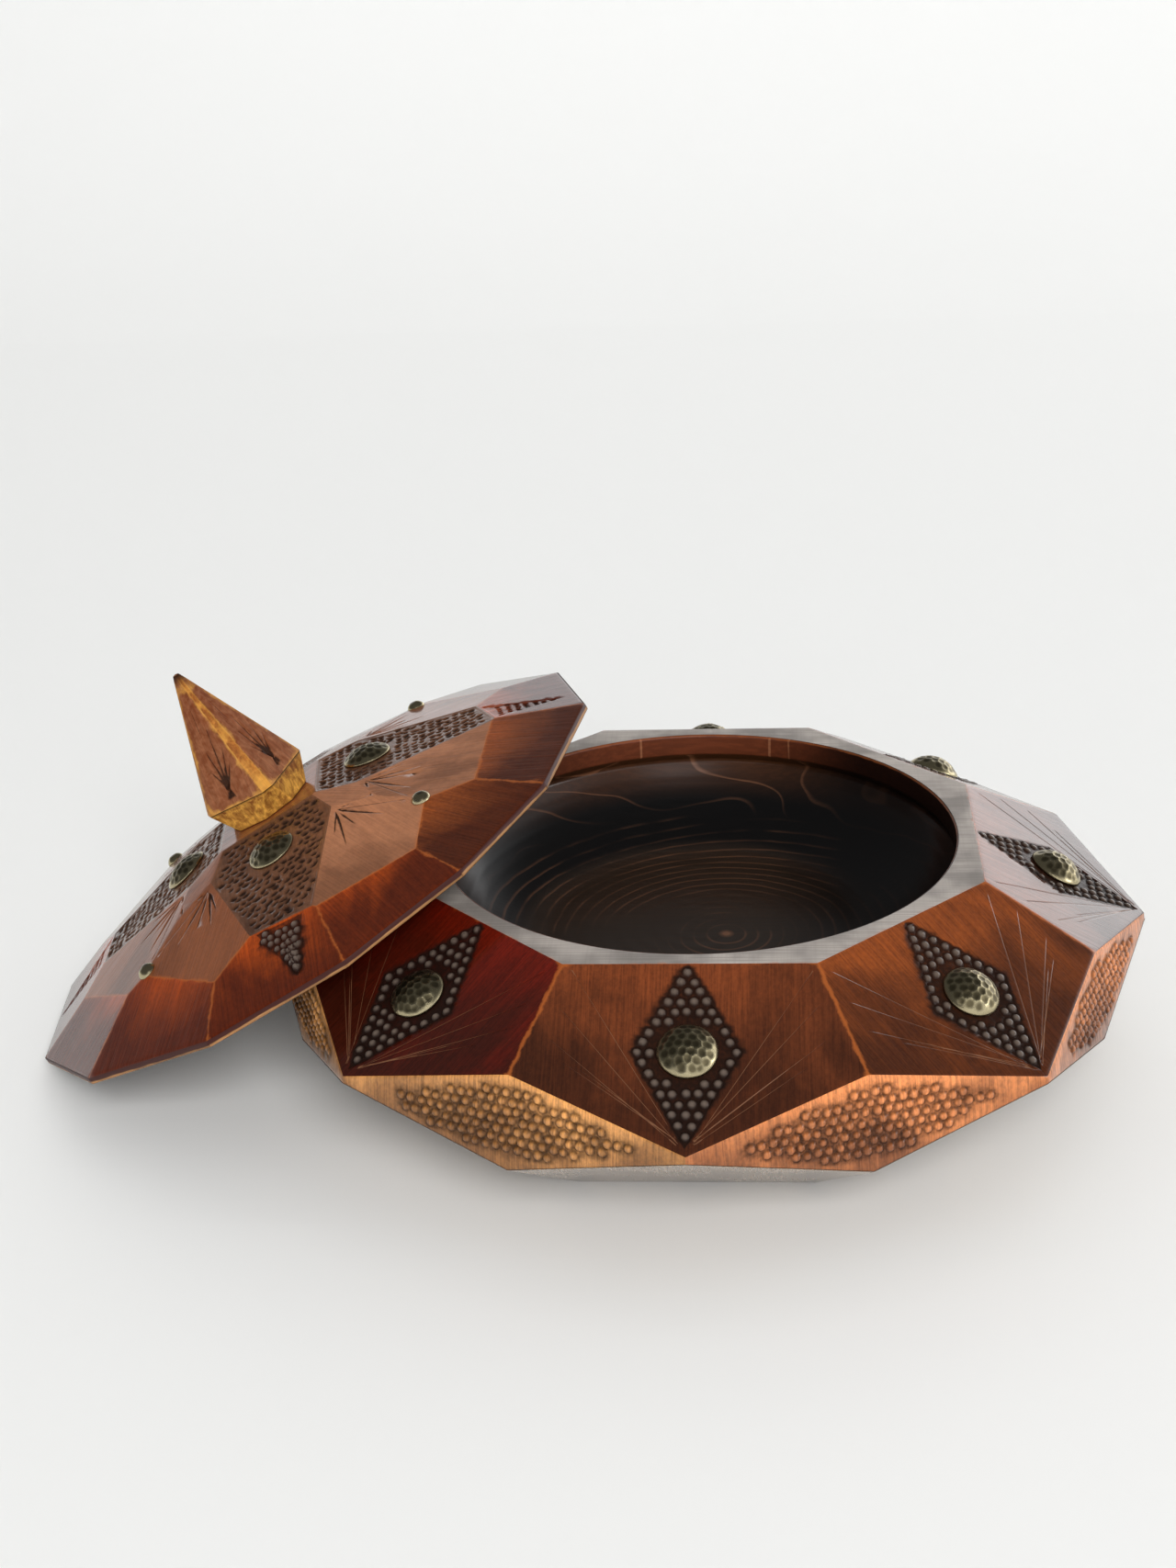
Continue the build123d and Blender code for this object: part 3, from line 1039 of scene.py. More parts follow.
@made_once
def stained_wood(name, wear=0.55, top_glow=0.5, gather=0.55, coat=0.8, contrast=1.0, low=None):
    """Stained and waxed facets: fibres down the slope, lighter at the top edge, rubbed at the edges,
    dark stain with painted shade in the carving, and a painted grey sheen on the bead domes.
    """
    colours = settings().box_colours
    material, n, shader = new_material(name)
    place = n.attribute("grain", "Vector")
    grain = n.group(planed_grain(), place=place)
    stain = n.attribute("tint", "Color")
    fade = n.attribute("fade")
    dark = n.mix(0.35, n.tinted(stain, GATHERED), low or colours.deep)
    gathered = n.math("MULTIPLY_ADD", grain["Blotch"], 0.5, n.times(fade, gather))
    base = n.mix(n.ramp(gathered, 0.12, 0.95), stain, dark)
    glow = n.times(n.ramp(fade, 0.5, 0.0), n.math("MULTIPLY_ADD", grain["Streaks"], 0.5, 0.5))
    base = n.mix(n.times(glow, top_glow), base, n.tinted(base, TOP_GLOW))
    light = n.tinted(base, LIGHT_FIBRE)
    base = n.mix(n.times(n.times(grain["Streaks"], grain["Fibres"]), 0.5 * contrast), base, light)
    base = n.mix(n.times(grain["Speck"], 0.4 * contrast), base, light)
    thin = n.times(n.math("SUBTRACT", 1.0, grain["Fibres"]), 0.3 * contrast)
    base = n.mix(thin, base, n.tinted(base, DARK_FIBRE))
    base = rubbed_bare(n, base, place, wear, colours.rubbed)
    depth = n.attribute("sunk")
    sunk = n.group(punched_stain_and_shade(), place=place, sunk=depth)["Mask"]
    # Dark stain in the carving, with painted shade round the beads
    base = n.mix(n.times(sunk, 0.93), base, colours.punched)
    # Painted sheen: grey over the bead domes, lightest at their middle, for their reflection of the
    # pale room
    bead_sheen = n.ramp(depth, 0.95, 2.0)
    base = n.mix(n.times(bead_sheen, 0.8), base, colours.bead_grey)
    n.put(shader["Base Color"], n.mix(n.ramp(depth, -0.15, -0.7), base, colours.bare))
    dull = n.times(sunk, n.math("SUBTRACT", 1.0, bead_sheen))
    n.put(shader["Coat Weight"], n.math("MULTIPLY_ADD", dull, -0.85 * coat, coat))
    rough = n.math("MULTIPLY_ADD", grain["Fibres"], -0.1, 0.44)
    n.put(shader["Roughness"], n.math("MULTIPLY_ADD", grain["Blotch"], 0.08, rough))
    streaks = n.bump(grain["Streaks"], 0.2, 0.0003)
    n.put(shader["Normal"], n.bump(grain["Fibres"], 0.25, 0.00006, streaks))
    varnish(shader, 0.09, 0.06)
    return material


@made_once
def dish_wood(name):
    """Turned wood under the lid: growth rings cut by the shape, and fine tool rings."""
    colours = settings().box_colours
    material, n, shader = new_material(name)
    place = n.attribute("grain", "Vector")
    _, along, up = n.split(place)
    bend = n.noise(n.scaled(place, (14, 30, 60)), 1.0, 3.0, 0.5)
    level = n.math("MULTIPLY_ADD", along, 60.0, n.times(up, 150.0))
    ring = n.math("FRACT", n.math("MULTIPLY_ADD", bend, 9.0, level))
    fibre = n.noise(n.scaled(place, (45, 1500, 700)), 1.0, 3.0, 0.6)
    soft = n.noise(n.scaled(place, (22, 40, 40)), 1.0, 3.0)
    share = n.times(n.stripe(ring, 0.0, 0.25, 0.55, 1.0), n.ramp(soft, 0.42, 0.75))
    share = n.times(n.math("MULTIPLY_ADD", fibre, 0.7, 0.3), share, clamp=True)
    base = n.mix(share, colours.inside, colours.figure)
    base = n.mix(n.ramp(soft, 0.55, 0.25, 0.0, 0.6), base, DISH_SHADE)
    n.put(shader["Base Color"], rubbed_bare(n, base, place, 0.5, colours.rubbed))
    n.put(shader["Roughness"], n.math("MULTIPLY_ADD", fibre, 0.15, 0.3))
    n.put(shader["Normal"], n.bump(fibre, 0.12, 0.0001))
    varnish(shader, 0.2, 0.15, 0.3)
    return material


def growth_lines(n, place, lip, floor):
    """Pale lines on the wall, where its slope cuts the growth rings."""
    across, _, up = n.split(place)
    bend = n.noise(n.scaled(place, (17, 26, 40)), 1.0, 2.0, 0.4)
    level = n.math("MULTIPLY_ADD", up, 120.0, n.times(across, 34.0))
    level = n.math("FRACT", n.math("MULTIPLY_ADD", bend, 7.0, level))
    line = n.stripe(level, 0.0, 0.04, 0.05, 0.14)
    return n.times(line, n.stripe(up, floor + 0.0053, lip - 0.0055, lip - 0.0005, lip))


def from_knot(n, place, soft, knot):
    """Distance from the knot's middle in plan, a little uneven."""
    away = n.add("ShaderNodeVectorMath", operation="DISTANCE")
    n.put(away.inputs[0], n.scaled(place, (1, 1, 0)))
    n.put(away.inputs[1], knot)
    return n.math("MULTIPLY_ADD", soft, 0.004, away.outputs["Value"])


def knot_rings(n, place, reach, floor):
    """Rings round the knot on the floor, faint in a middle band."""
    turn = n.math("FRACT", n.times(reach, 330.0))
    ring = n.stripe(turn, 0.0, 0.08, 0.12, 0.3)
    ring = n.times(ring, n.ramp(n.noise(n.scaled(place, (40, 40, 10)), 1.0, 2.0), 0.4, 0.62))
    ring = n.times(ring, n.ramp(n.split(place)[2], floor + 0.0063, floor + 0.0033))
    band = n.stripe(reach, 0.0125, 0.0165, 0.0225, 0.0265)
    return n.times(n.times(ring, n.math("MULTIPLY_ADD", band, -0.85, 1.0)), 0.6)


@made_once
def hollow_wood(name, lip, floor, knot):
    """Varnished hollow: reddish lip, dark wall with pale growth lines, rings and a knot on the floor,
    and painted shade that darkens the lower wall and the right side.

    The heights of its lip and floor and the place of its knot are in metres."""
    colours = settings().box_colours
    material, n, shader = new_material(name)
    place = n.attribute("grain", "Vector")
    across, _, up = n.split(place)
    soft = n.noise(n.scaled(place, (22, 30, 40)), 1.0, 3.0)
    fibre = n.noise(n.scaled(place, (60, 1100, 900)), 1.0, 3.0, 0.6)
    # Painted shade: the wall goes to near black towards the floor
    wall = n.mix(n.ramp(up, floor + 0.0078, lip - 0.0025), colours.shade, colours.wall)
    base = n.mix(n.ramp(up, floor + 0.0021, floor + 0.0002), wall, colours.bottom)
    flecks = n.ramp(n.noise(n.scaled(place, (520, 520, 12)), 1.0, 2.0), 0.68, 0.73, 0.0, 0.5)
    base = n.mix(n.ramp(up, lip - 0.0003, lip + 0.0003), base, n.mix(flecks, colours.lip, colours.tan))
    base = n.mix(n.times(n.ramp(fibre, 0.4, 0.66), 0.35), base, n.tinted(base, (1.9, 1.8, 1.7)))
    reach = from_knot(n, place, soft, knot)
    line, ring = growth_lines(n, place, lip, floor), knot_rings(n, place, reach, floor)
    figure = n.times(n.math("MAXIMUM", line, ring), 0.27)
    figure = n.times(figure, n.math("MULTIPLY_ADD", fibre, 0.8, 0.5), clamp=True)
    base = n.mix(figure, base, colours.tan)
    base = n.mix(n.ramp(reach, 0.0036, 0.0024, 0.0, 0.3), base, colours.tan)
    # Painted shade: the right side of the hollow goes near black
    base = n.mix(n.ramp(across, 0.008, 0.04, 0.0, 0.92), base, colours.shade)
    n.put(shader["Base Color"], rubbed_bare(n, base, place, 0.25, colours.rubbed))
    n.put(shader["Roughness"], n.math("MULTIPLY_ADD", fibre, 0.15, 0.4))
    n.put(shader["Normal"], n.bump(fibre, 0.12, 0.0001))
    varnish(shader, 0.2, 0.15, 0.6)
    return material


@made_once
def sawn_wood(name, ground, roughness=0.34, top=None):
    """Flat rim and edges: plain wood with fine saw marks, and stain along the top if given."""
    material, n, shader = new_material(name)
    place = n.attribute("grain", "Vector")
    marks = n.noise(n.scaled(place, (40, 2600, 200)), 1.0, 3.0, 0.7)
    cross = n.noise(n.scaled(place, (1800, 30, 200)), 1.0, 2.0, 0.6)
    soft = n.noise(n.scaled(place, (60, 60, 60)), 1.0, 3.0)
    shade = n.times(n.ramp(marks, 0.35, 0.65), n.ramp(cross, 0.3, 0.6, 0.7, 1.0))
    pale = [min(1.0, 1.9 * v) for v in ground]
    dark = [0.35 * v for v in ground]
    base = n.mix(n.times(shade, 0.6), ground, pale)
    base = n.mix(n.ramp(soft, 0.6, 0.35, 0.0, 0.6), base, dark)
    if top:
        broken = n.math("MULTIPLY_ADD", soft, 0.9, n.attribute("fade"))
        base = n.mix(n.ramp(broken, 1.12, 0.96), base, top)
    n.put(shader["Base Color"], rubbed_bare(n, base, place, 0.5, settings().box_colours.rubbed))
    n.put(shader["Roughness"], n.math("MULTIPLY_ADD", marks, 0.2, roughness - 0.05))
    n.put(shader["Normal"], n.bump(marks, 0.3, 0.00008))
    varnish(shader, 0.2, 0.3, 0.1)
    return material


@made_once
def finial_wood(name):
    """Mottled honey and brown stain, darker at the tip and in the cuts."""
    colours = settings().box_colours
    material, n, shader = new_material(name)
    place = n.attribute("grain", "Vector")
    grain = n.group(planed_grain(), place=place)
    mottle = n.noise(n.scaled(place, (480, 420, 300)), 1.0, 5.0, 0.65, 0.5)
    fade = n.attribute("fade")
    share = n.math("MULTIPLY_ADD", n.ramp(mottle, 0.35, 0.7), 0.6, n.times(fade, 0.3))
    base = n.mix(share, colours.finial_brown, n.attribute("tint", "Color"))
    base = n.mix(n.times(grain["Fibres"], 0.25), base, colours.deep)
    base = rubbed_bare(n, base, place, 0.4, colours.pale_honey)
    sunk = n.group(punched_stain_and_shade(), place=place, sunk=n.attribute("sunk"))["Mask"]
    base = n.mix(n.times(sunk, 0.9), base, colours.punched)
    n.put(shader["Base Color"], n.mix(n.ramp(fade, 0.1, 0.0), base, colours.deep))
    n.put(shader["Roughness"], n.math("MULTIPLY_ADD", mottle, 0.15, 0.42))
    n.put(shader["Normal"], n.bump(mottle, 0.2, 0.0003))
    varnish(shader, 0.3, 0.06, 0.05)
    return material


@made_once
def aged_brass(name, roughness):
    """Brass with dark patina in the hollows and rubbed ridges."""
    colours = settings().box_colours
    material, n, shader = new_material(name)
    spots = n.noise(n.scaled(n.attribute("grain", "Vector"), (900, 900, 900)), 1.0, 4.0, 0.6)
    share = n.math("MULTIPLY_ADD", n.math("SUBTRACT", spots, 0.5), 0.7, n.attribute("rub"))
    share = n.ramp(share, 0.1, 0.9)
    n.put(shader["Base Color"], n.mix(share, colours.patina, colours.brass))
    n.put(shader["Roughness"], n.math("MULTIPLY_ADD", share, -0.12, roughness + 0.12))
    n.put(shader["Normal"], n.bump(spots, 0.15, 0.0001))
    shader["Metallic"].default_value = 1.0
    return material


def dress(made, body, slot, *nodes):
    """Hands a finished piece to the frame."""
    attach(made, body)
    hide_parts(*nodes)
    return made


# The bowl
def rim_radius(sizes):
    """Distance of the rim's outer sides from the axis, in millimetres."""
    drop = (sizes.height - sizes.belly_height) / MM
    return sizes.belly_across / MM / 2 - drop / math.tan(sizes.upper_slope)


def bowl_facets(sizes):
    """The bowl as a block cut by its three rings of facets, its rim and its foot."""
    belly = sizes.belly_across / MM / 2
    height = sizes.belly_height / MM
    cuts = []
    for side in range(SIDES):
        azimuth = 2 * math.pi * side / SIDES
        point = spot(belly, azimuth, height)
        foot = spot(sizes.base_across / MM / 2, azimuth, 0)
        cuts.append(cut("upper", side, point, azimuth, math.pi / 2 - sizes.upper_slope))
        cuts.append(cut("middle", side, point, azimuth + math.pi / SIDES, sizes.middle_rise))
        cuts.append(cut("lower", side, foot, azimuth, -sizes.lower_lean))
    cuts.append(("rim", 0, UP.copy(), sizes.height / MM))
    cuts.append(("foot", 0, -UP, 0.0))
    return block_facets(cuts)


def stud_kite(carving, luck, sizes, studs):
    """Rows of punched beads round a stud, in a kite with a fine border."""
    drop = studs.from_rim / MM
    wide = 10.9 + luck.uniform(-0.4, 0.5)
    lean = luck.uniform(-0.4, 0.4)
    kite = [(lean, -0.4), (-wide, -drop), (lean, -43.0), (wide, -drop)]
    carving.ground(kite, sizes.ground / MM, 0.72)
    for row in range(-8, 9):
        across = 9 - abs(row)
        half = wide * (1 - abs(row) / 9.0) + 0.1
        for i in range(across):
            share = 0 if across == 1 else 2 * i / (across - 1) - 1
            u = share * (half - 1.15) + lean + luck.uniform(-0.14, 0.14)
            v = -drop - row * 2.36 + luck.uniform(-0.14, 0.14)
            if math.hypot(u, v + drop) > studs.across / MM / 2 + 1.1:
                radius = sizes.bead / MM * luck.uniform(0.96, 1.12)
                # The middle stain of 2.0 paints a grey sheen on each bead's dome
                carving.bead(u, v, radius, sizes.bead_rise / MM * luck.uniform(0.85, 1.1), 2.0)


def ray_lines(carving, luck, sizes):
    """Fine lines that fan out from the belly's point on both sides of the kite."""
    width, depth = sizes.line_width / MM, sizes.line_depth / MM
    ends = ((24.6, -2.2), (27.0, -9.8), (28.4, -17.0), (24.4, -23.4), (21.2, -23.9))
    for side in (-1, 1):
        for u, v in ends:
            start = (side * luck.uniform(0.9, 1.7), -42.0 + luck.uniform(0, 1.2))
            end = (side * (u + luck.uniform(-0.8, 0.8)), v + luck.uniform(-0.9, 0.9))
            carving.line(start, end, width * luck.uniform(0.85, 1.2), depth, stain=-0.6)


def rows_over(outline, pitch, row, start):
    """Places in rows over the box round an outline, every second row half a pitch to the left."""
    low, high = outline.min(0), outline.max(0)
    count = 0
    v = low[1] + start
    while v < high[1]:
        u = low[0] + pitch * (0.5 if count % 2 else 1.0)
        while u < high[0]:
            yield u, v
            u += pitch
        v += row * pitch
        count += 1


def bead_field(carving, luck, sizes, corners):
    """Rows of punched beads that fill a polygon."""
    pitch = sizes.pitch / MM
    outline = np.array(corners)
    for u, v in rows_over(outline, pitch, ROW, pitch / 2):
        x, y = u + luck.uniform(-0.18, 0.18), v + luck.uniform(-0.18, 0.18)
        if depth_inside(outline, x, y) > 0.55:
            radius = sizes.bead / MM * luck.uniform(0.88, 1.08)
            # around sets the dark halo round each bead: gathered stain with painted shade
            carving.bead(x, y, radius, sizes.bead_rise / MM * luck.uniform(0.8, 1.1), around=0.66)


def middle_field(luck):
    """Outline of the bead field on a middle facet, from the upper point down."""
    j = luck.uniform
    return [
        (-30 + j(-1, 1), -10.8),
        (-10, -17.2 + j(-0.4, 0.4)),
        (9, -17.0 + j(-0.4, 0.4)),
        (30 + j(-1, 1), -10.0),
        (12 + j(-2, 2), -4.2),
        (j(-2, 2), -2.6),
        (-14 + j(-2, 2), -5.0),
    ]


def hollow_outline(sizes):
    """Rings of the bowl's inside, from the rim to the middle of the floor."""
    mouth = sizes.mouth_across / MM / 2
    top = sizes.height / MM
    lip = top - sizes.lip_depth / MM
    widest = mouth + sizes.undercut / MM
    shoulder = lip - sizes.undercut_slope / MM
    floor = top - sizes.hollow_depth / MM
    edge = sizes.floor_across / MM / 2
    bulge = sizes.wall_bulge / MM
    rings = [
        (mouth + 0.5, top, 0.7),
        (mouth + 0.22, top - 0.08, 1.0),
        (mouth + 0.05, top - 0.28, 0.8),
        (mouth, top - 0.7, 0.2),
        (mouth, (top + lip) / 2, 0.0),
        (mouth, lip + 0.4, 0.0),
        (mouth + 0.1, lip, 0.3),
        (widest - 0.25, shoulder + 0.3, 0.0),
        (widest, shoulder - 0.1, 0.0),
    ]
    middle = Vector(((widest + edge) / 2 + bulge, (shoulder + floor) / 2 - bulge))
    centre, radius = circle_through(Vector((widest, shoulder)), middle, Vector((edge, floor)))
    start = math.atan2(shoulder - centre.y, widest - centre.x)
    end = math.atan2(floor - centre.y, edge - centre.x)
    for i in range(1, 27):
        a = start + (end - start) * i / 27
        wavy = radius + 0.05 * math.sin(2.4 * i)
        rings.append((centre.x + wavy * math.cos(a), centre.y + wavy * math.sin(a), 0.0))
    rings.append((edge, floor + 0.05, 0.0))
    for i in range(1, 23):
        rings.append((edge * (1 - i / 23), floor + 0.03 * math.sin(2.1 * i), 0.0))
    rings.append((0, floor, 0.0))
    return rings


def circle_through(a, b, c):
    """Centre and radius of the circle through three points of a plane."""
    d = 2 * (a.x * (b.y - c.y) + b.x * (c.y - a.y) + c.x * (a.y - b.y))
    aa, bb, cc = a.length_squared, b.length_squared, c.length_squared
    x = (aa * (b.y - c.y) + bb * (c.y - a.y) + cc * (a.y - b.y)) / d
    y = (aa * (c.x - b.x) + bb * (a.x - c.x) + cc * (b.x - a.x)) / d
    centre = Vector((x, y))
    return centre, (a - centre).length


def round_hole(radius, height):
    """Radius and edge of a hole that a turned surface joins."""
    return radius, turned_ring(radius, height)


def make_bowl():
    sizes, carving_sizes = settings().box_bowl, settings().box_carving
    studs, colours = settings().box_studs, settings().box_colours
    edge = carving_sizes.rub_width / MM
    top = sizes.height / MM
    level = Vector((0, 1, 0))
    skin = Skin()
    for facet in bowl_facets(sizes):
        side = facet.number
        luck = hand(100, side * 3 + len(facet.kind))
        carving = Carving()
        if facet.kind == "upper":
            board = Board(facet.normal, spot(rim_radius(sizes), 2 * math.pi * side / SIDES, top))
            stud_kite(carving, luck, carving_sizes, studs)
            ray_lines(carving, luck, carving_sizes)
            stain = getattr(colours, UPPER_STAINS[side])
            patch(skin, facet, board, carving, 0, stain, side + 1, edge=edge)
        elif facet.kind == "middle":
            board = Board(facet.normal, max(facet.corners, key=lambda c: c.z))
            bead_field(carving, luck, carving_sizes, middle_field(luck))
            stain = getattr(colours, MIDDLE_STAINS[side])
            patch(skin, facet, board, carving, 1, stain, side + 11, edge=edge)
        elif facet.kind == "lower":
            board = Board(facet.normal, facet.middle())
            # Pale stain with a painted reflection of the bright floor
            patch(skin, facet, board, carving, 1, colours.foot, side + 21, edge=0.5 * edge, step=3.0)
        elif facet.kind == "rim":
            board = Board(facet.normal, Vector((0, 0, top)), level)
            hole = round_hole(sizes.mouth_across / MM / 2 + 0.5, top)
            patch(skin, facet, board, carving, 2, colours.rim, 31, hole=hole, edge=edge, step=2.4)
        else:
            board = Board(facet.normal, Vector(), level)
            patch(skin, facet, board, carving, 2, colours.rim, 32, edge=edge, step=6.0)
    turned_rings(skin, hollow_outline(sizes), 3, colours.inside)
    lip, floor = sizes.height - sizes.lip_depth, sizes.height - sizes.hollow_depth
    finishes = [
        stained_wood("bowl facet wood", gather=0.85),
        stained_wood("bowl kite wood", wear=0.45, top_glow=0.15, contrast=1.3),
        sawn_wood("rim wood", colours.rim),
        hollow_wood("inside wood", lip, floor, (0.006, -0.004, 0.0)),
    ]
    made = skin.mesh("bowl", finishes)
    return dress(made, "bowl", "bowl_wood", "bowl_body")


# The lid
def lid_place():
    """Where the leaning lid lies: the middle of its rim, its tilt and its turn."""
    sizes = settings().box_lid
    lean = Matrix.Rotation(-sizes.lean, 4, "Y")
    return Matrix.Translation(sizes.place) @ lean @ Matrix.Rotation(sizes.turn, 4, "Z")


def lid_facets(sizes):
    """The lid's top as a block cut by the edge facets and the facets round the finial."""
    radius = sizes.across / MM / 2
    corners = [math.radians(c) for c in LID_CORNERS]
    ends = corners[1:] + [corners[0] + 2 * math.pi]
    cuts = []
    for number, (start, end) in enumerate(zip(corners, ends)):
        middle = (start + end) / 2
        reach = radius * math.cos((end - start) / 2)
        cuts.append(cut("edge", number, spot(reach, middle, 0), middle, 0))
        point = spot(reach, middle, sizes.edge / MM)
        cuts.append(cut("outer", number, point, middle, math.pi / 2 - sizes.outer_slope))
    for quarter in range(QUARTERS):
        azimuth = 2 * math.pi * quarter / QUARTERS
        turn = sizes.flank_turn
        kite = Vector((0, 0, sizes.kite_top / MM))
        flank = Vector((0, 0, sizes.flank_top / MM))
        diagonal = Vector((0, 0, sizes.diagonal_top / MM))
        cuts.append(cut("kite", quarter, kite, azimuth, math.pi / 2 - sizes.kite_slope))
        rise = math.pi / 2 - sizes.flank_slope
        cuts.append(cut("flank", 2 * quarter, flank, azimuth + turn, rise))
        cuts.append(cut("flank", 2 * quarter + 1, flank, azimuth - turn, rise))
        middle = azimuth + math.pi / QUARTERS
        cuts.append(cut("diagonal", quarter, diagonal, middle, math.pi / 2 - sizes.diagonal_slope))
    cuts.append(("seat", 0, UP.copy(), sizes.seat / MM))
    cuts.append(("under", 0, -UP, 0.0))
    return block_facets(cuts)


def lid_rays(sizes):
    """Cuts on the lid in plan: a burst at each side corner of a kite, and lines to the tacks."""
    luck = hand(31)
    fan = ((-12, 11, 0.8), (6, 15.5, 1.15), (24, 12, 0.95), (45, 15, 1.15), (84, 9, 0.8))
    rays = []
    for quarter in range(QUARTERS):
        axis = quarter * math.pi / 2
        for side in (-1, 1):
            start = spot(31.0, axis + side * math.radians(34.5), 0)
            tack = spot(50.5, axis + side * math.pi / 4, 0)
            end = start.lerp(tack, 0.93)
            rays.append((start, end, 0.42, sizes.line_depth / MM, False, TACK_LINE_STAIN))
            for turn, reach, width in fan:
                way = axis + side * math.radians(turn + luck.uniform(-5, 5))
                end = start + spot(reach * luck.uniform(0.85, 1.1), way, 0)
                rays.append((start + spot(1.0, way, 0), end, width, GOUGE_DEPTH, True, GOUGE_STAIN))
    return rays


def inside_part(board, outline, start, end, margin):
    """The part of a line in plan that lies on a facet, as two places on its board."""
    a, b = np.array(board.under(start)), np.array(board.under(end))
    places = np.linspace(0, 1, 60)
    points = a + (b - a) * places[:, None]
    held = inside_distance(outline, points) > margin
    if held.sum() < 6:
        return None
    first, last = np.flatnonzero(held)[[0, -1]]
    return points[first], points[last]


def kite_marks(carving, luck, board, ground, azimuth, sizes, studs):
    """Long pits over a kite on the lid, round the stud."""
    stud = np.array(board.under(spot(studs.lid_radius / MM, azimuth, 0)))
    outline = np.array(ground)
    carving.ground(ground, 0.6 * sizes.ground / MM, 0.3)
    for u, v in rows_over(outline, 1.06 * sizes.pitch / MM, 0.84, 1.0):
        x, y = u + luck.uniform(-0.46, 0.46), v + luck.uniform(-0.36, 0.36)
        clear = math.hypot(x - stud[0], y - stud[1]) > studs.lid_across / MM / 2 + 0.9
        if clear and depth_inside(outline, x, y) > 0.85:
            depth = sizes.pit_depth / MM * luck.uniform(0.7, 1.1)
            radius = 0.9 * luck.uniform(0.8, 1.15)
            carving.pit(x, y, radius, depth, luck.uniform(1.1, 1.6), luck.uniform(-1.0, 1.0))


def clipped_polygon(corners, outline, margin):
    """The part of a flat convex polygon that lies inside another by a margin."""
    held = [np.array(c) for c in corners]
    for k in range(len(outline)):
        a, b = outline[k], outline[(k + 1) % len(outline)]
        way = (b - a) / np.linalg.norm(b - a)
        depths = [way[0] * (p - a)[1] - way[1] * (p - a)[0] - margin for p in held]
        kept = []
        for i, (p, d) in enumerate(zip(held, depths)):
            q, e = held[(i + 1) % len(held)], depths[(i + 1) % len(held)]
            if d >= 0:
                kept.append(p)
            if (d >= 0) != (e >= 0):
                kept.append(p + (q - p) * (d / (d - e)))
        held = kept
    return [tuple(p) for p in held]


def tip_marks(carving, luck, board, outline, azimuth, sizes, beads):
    """Round beads or pits in the tip of a kite, which runs out over the edge facet."""
    corners = ((73.8, 0), (54, 6.6), (54, -8.2))
    plan = [spot(radius, azimuth + math.radians(turn), 0) for radius, turn in corners]
    tip = np.array([board.under(p) for p in plan])
    ground = clipped_polygon(tip, outline, 0.45)
    if len(ground) > 2:
        carving.ground(ground, 0.6 * sizes.ground / MM, 0.62 if beads else 0.3)
    for row in range(9):
        spread = 1.02 * min(1.0, (row + 1) / 9.5 * 1.15)
        for i in range(-row, row + 1, 2):
            x = tip[0][0] + i * spread + luck.uniform(-0.2, 0.2)
            y = tip[:, 1].min() + 1.0 + 2.15 * row + luck.uniform(-0.25, 0.25)
            if depth_inside(tip, x, y) <= 0.35 or depth_inside(outline, x, y) <= 1.5:
                continue
            if beads:
                radius = sizes.bead / MM * luck.uniform(0.85, 1.1)
                # The middle stain of 2.0 paints a grey sheen on each bead's dome
                carving.bead(x, y, radius, 1.15 * sizes.bead_rise / MM, 2.0)
            else:
                depth = 0.8 * sizes.pit_depth / MM
                carving.pit(x, y, 0.72, depth, luck.uniform(1.1, 1.4), luck.uniform(-0.8, 0.8))


def lid_tint(kind, azimuth, colours):
    """The facets between the front and the right kite are the palest."""
    if kind == "outer":
        return colours.chestnut if 0.55 < azimuth < 1.5 else colours.amber
    if kind == "kite":
        return colours.kite_brown
    return colours.tan if 0.2 < azimuth < 1.4 else colours.rosewood


def carve_lid(facet, carving, board, azimuth, rays):
    """Carves one of the sloping facets on top of the lid."""
    carving_sizes, studs = settings().box_carving, settings().box_studs
    luck = hand(50, facet.number * 5 + len(facet.kind))
    outline = np.array([board.flat(c) for c in facet.corners])
    if facet.kind == "kite":
        ground = [tuple(c) for c in inset([Vector(c) for c in outline], 0.35)]
        kite_marks(carving, luck, board, ground, azimuth, carving_sizes, studs)
    elif facet.kind == "outer":
        for quarter in range(QUARTERS):
            axis = quarter * math.pi / 2
            if abs(math.remainder(azimuth - axis, 2 * math.pi)) < math.radians(20):
                tip_marks(carving, luck, board, outline, axis, carving_sizes, quarter == 0)
    else:
        for start, end, width, depth, belly, stain in rays:
            held = inside_part(board, outline, start, end, 0.5)
            if held:
                carving.line(*held, width, depth, belly, stain)


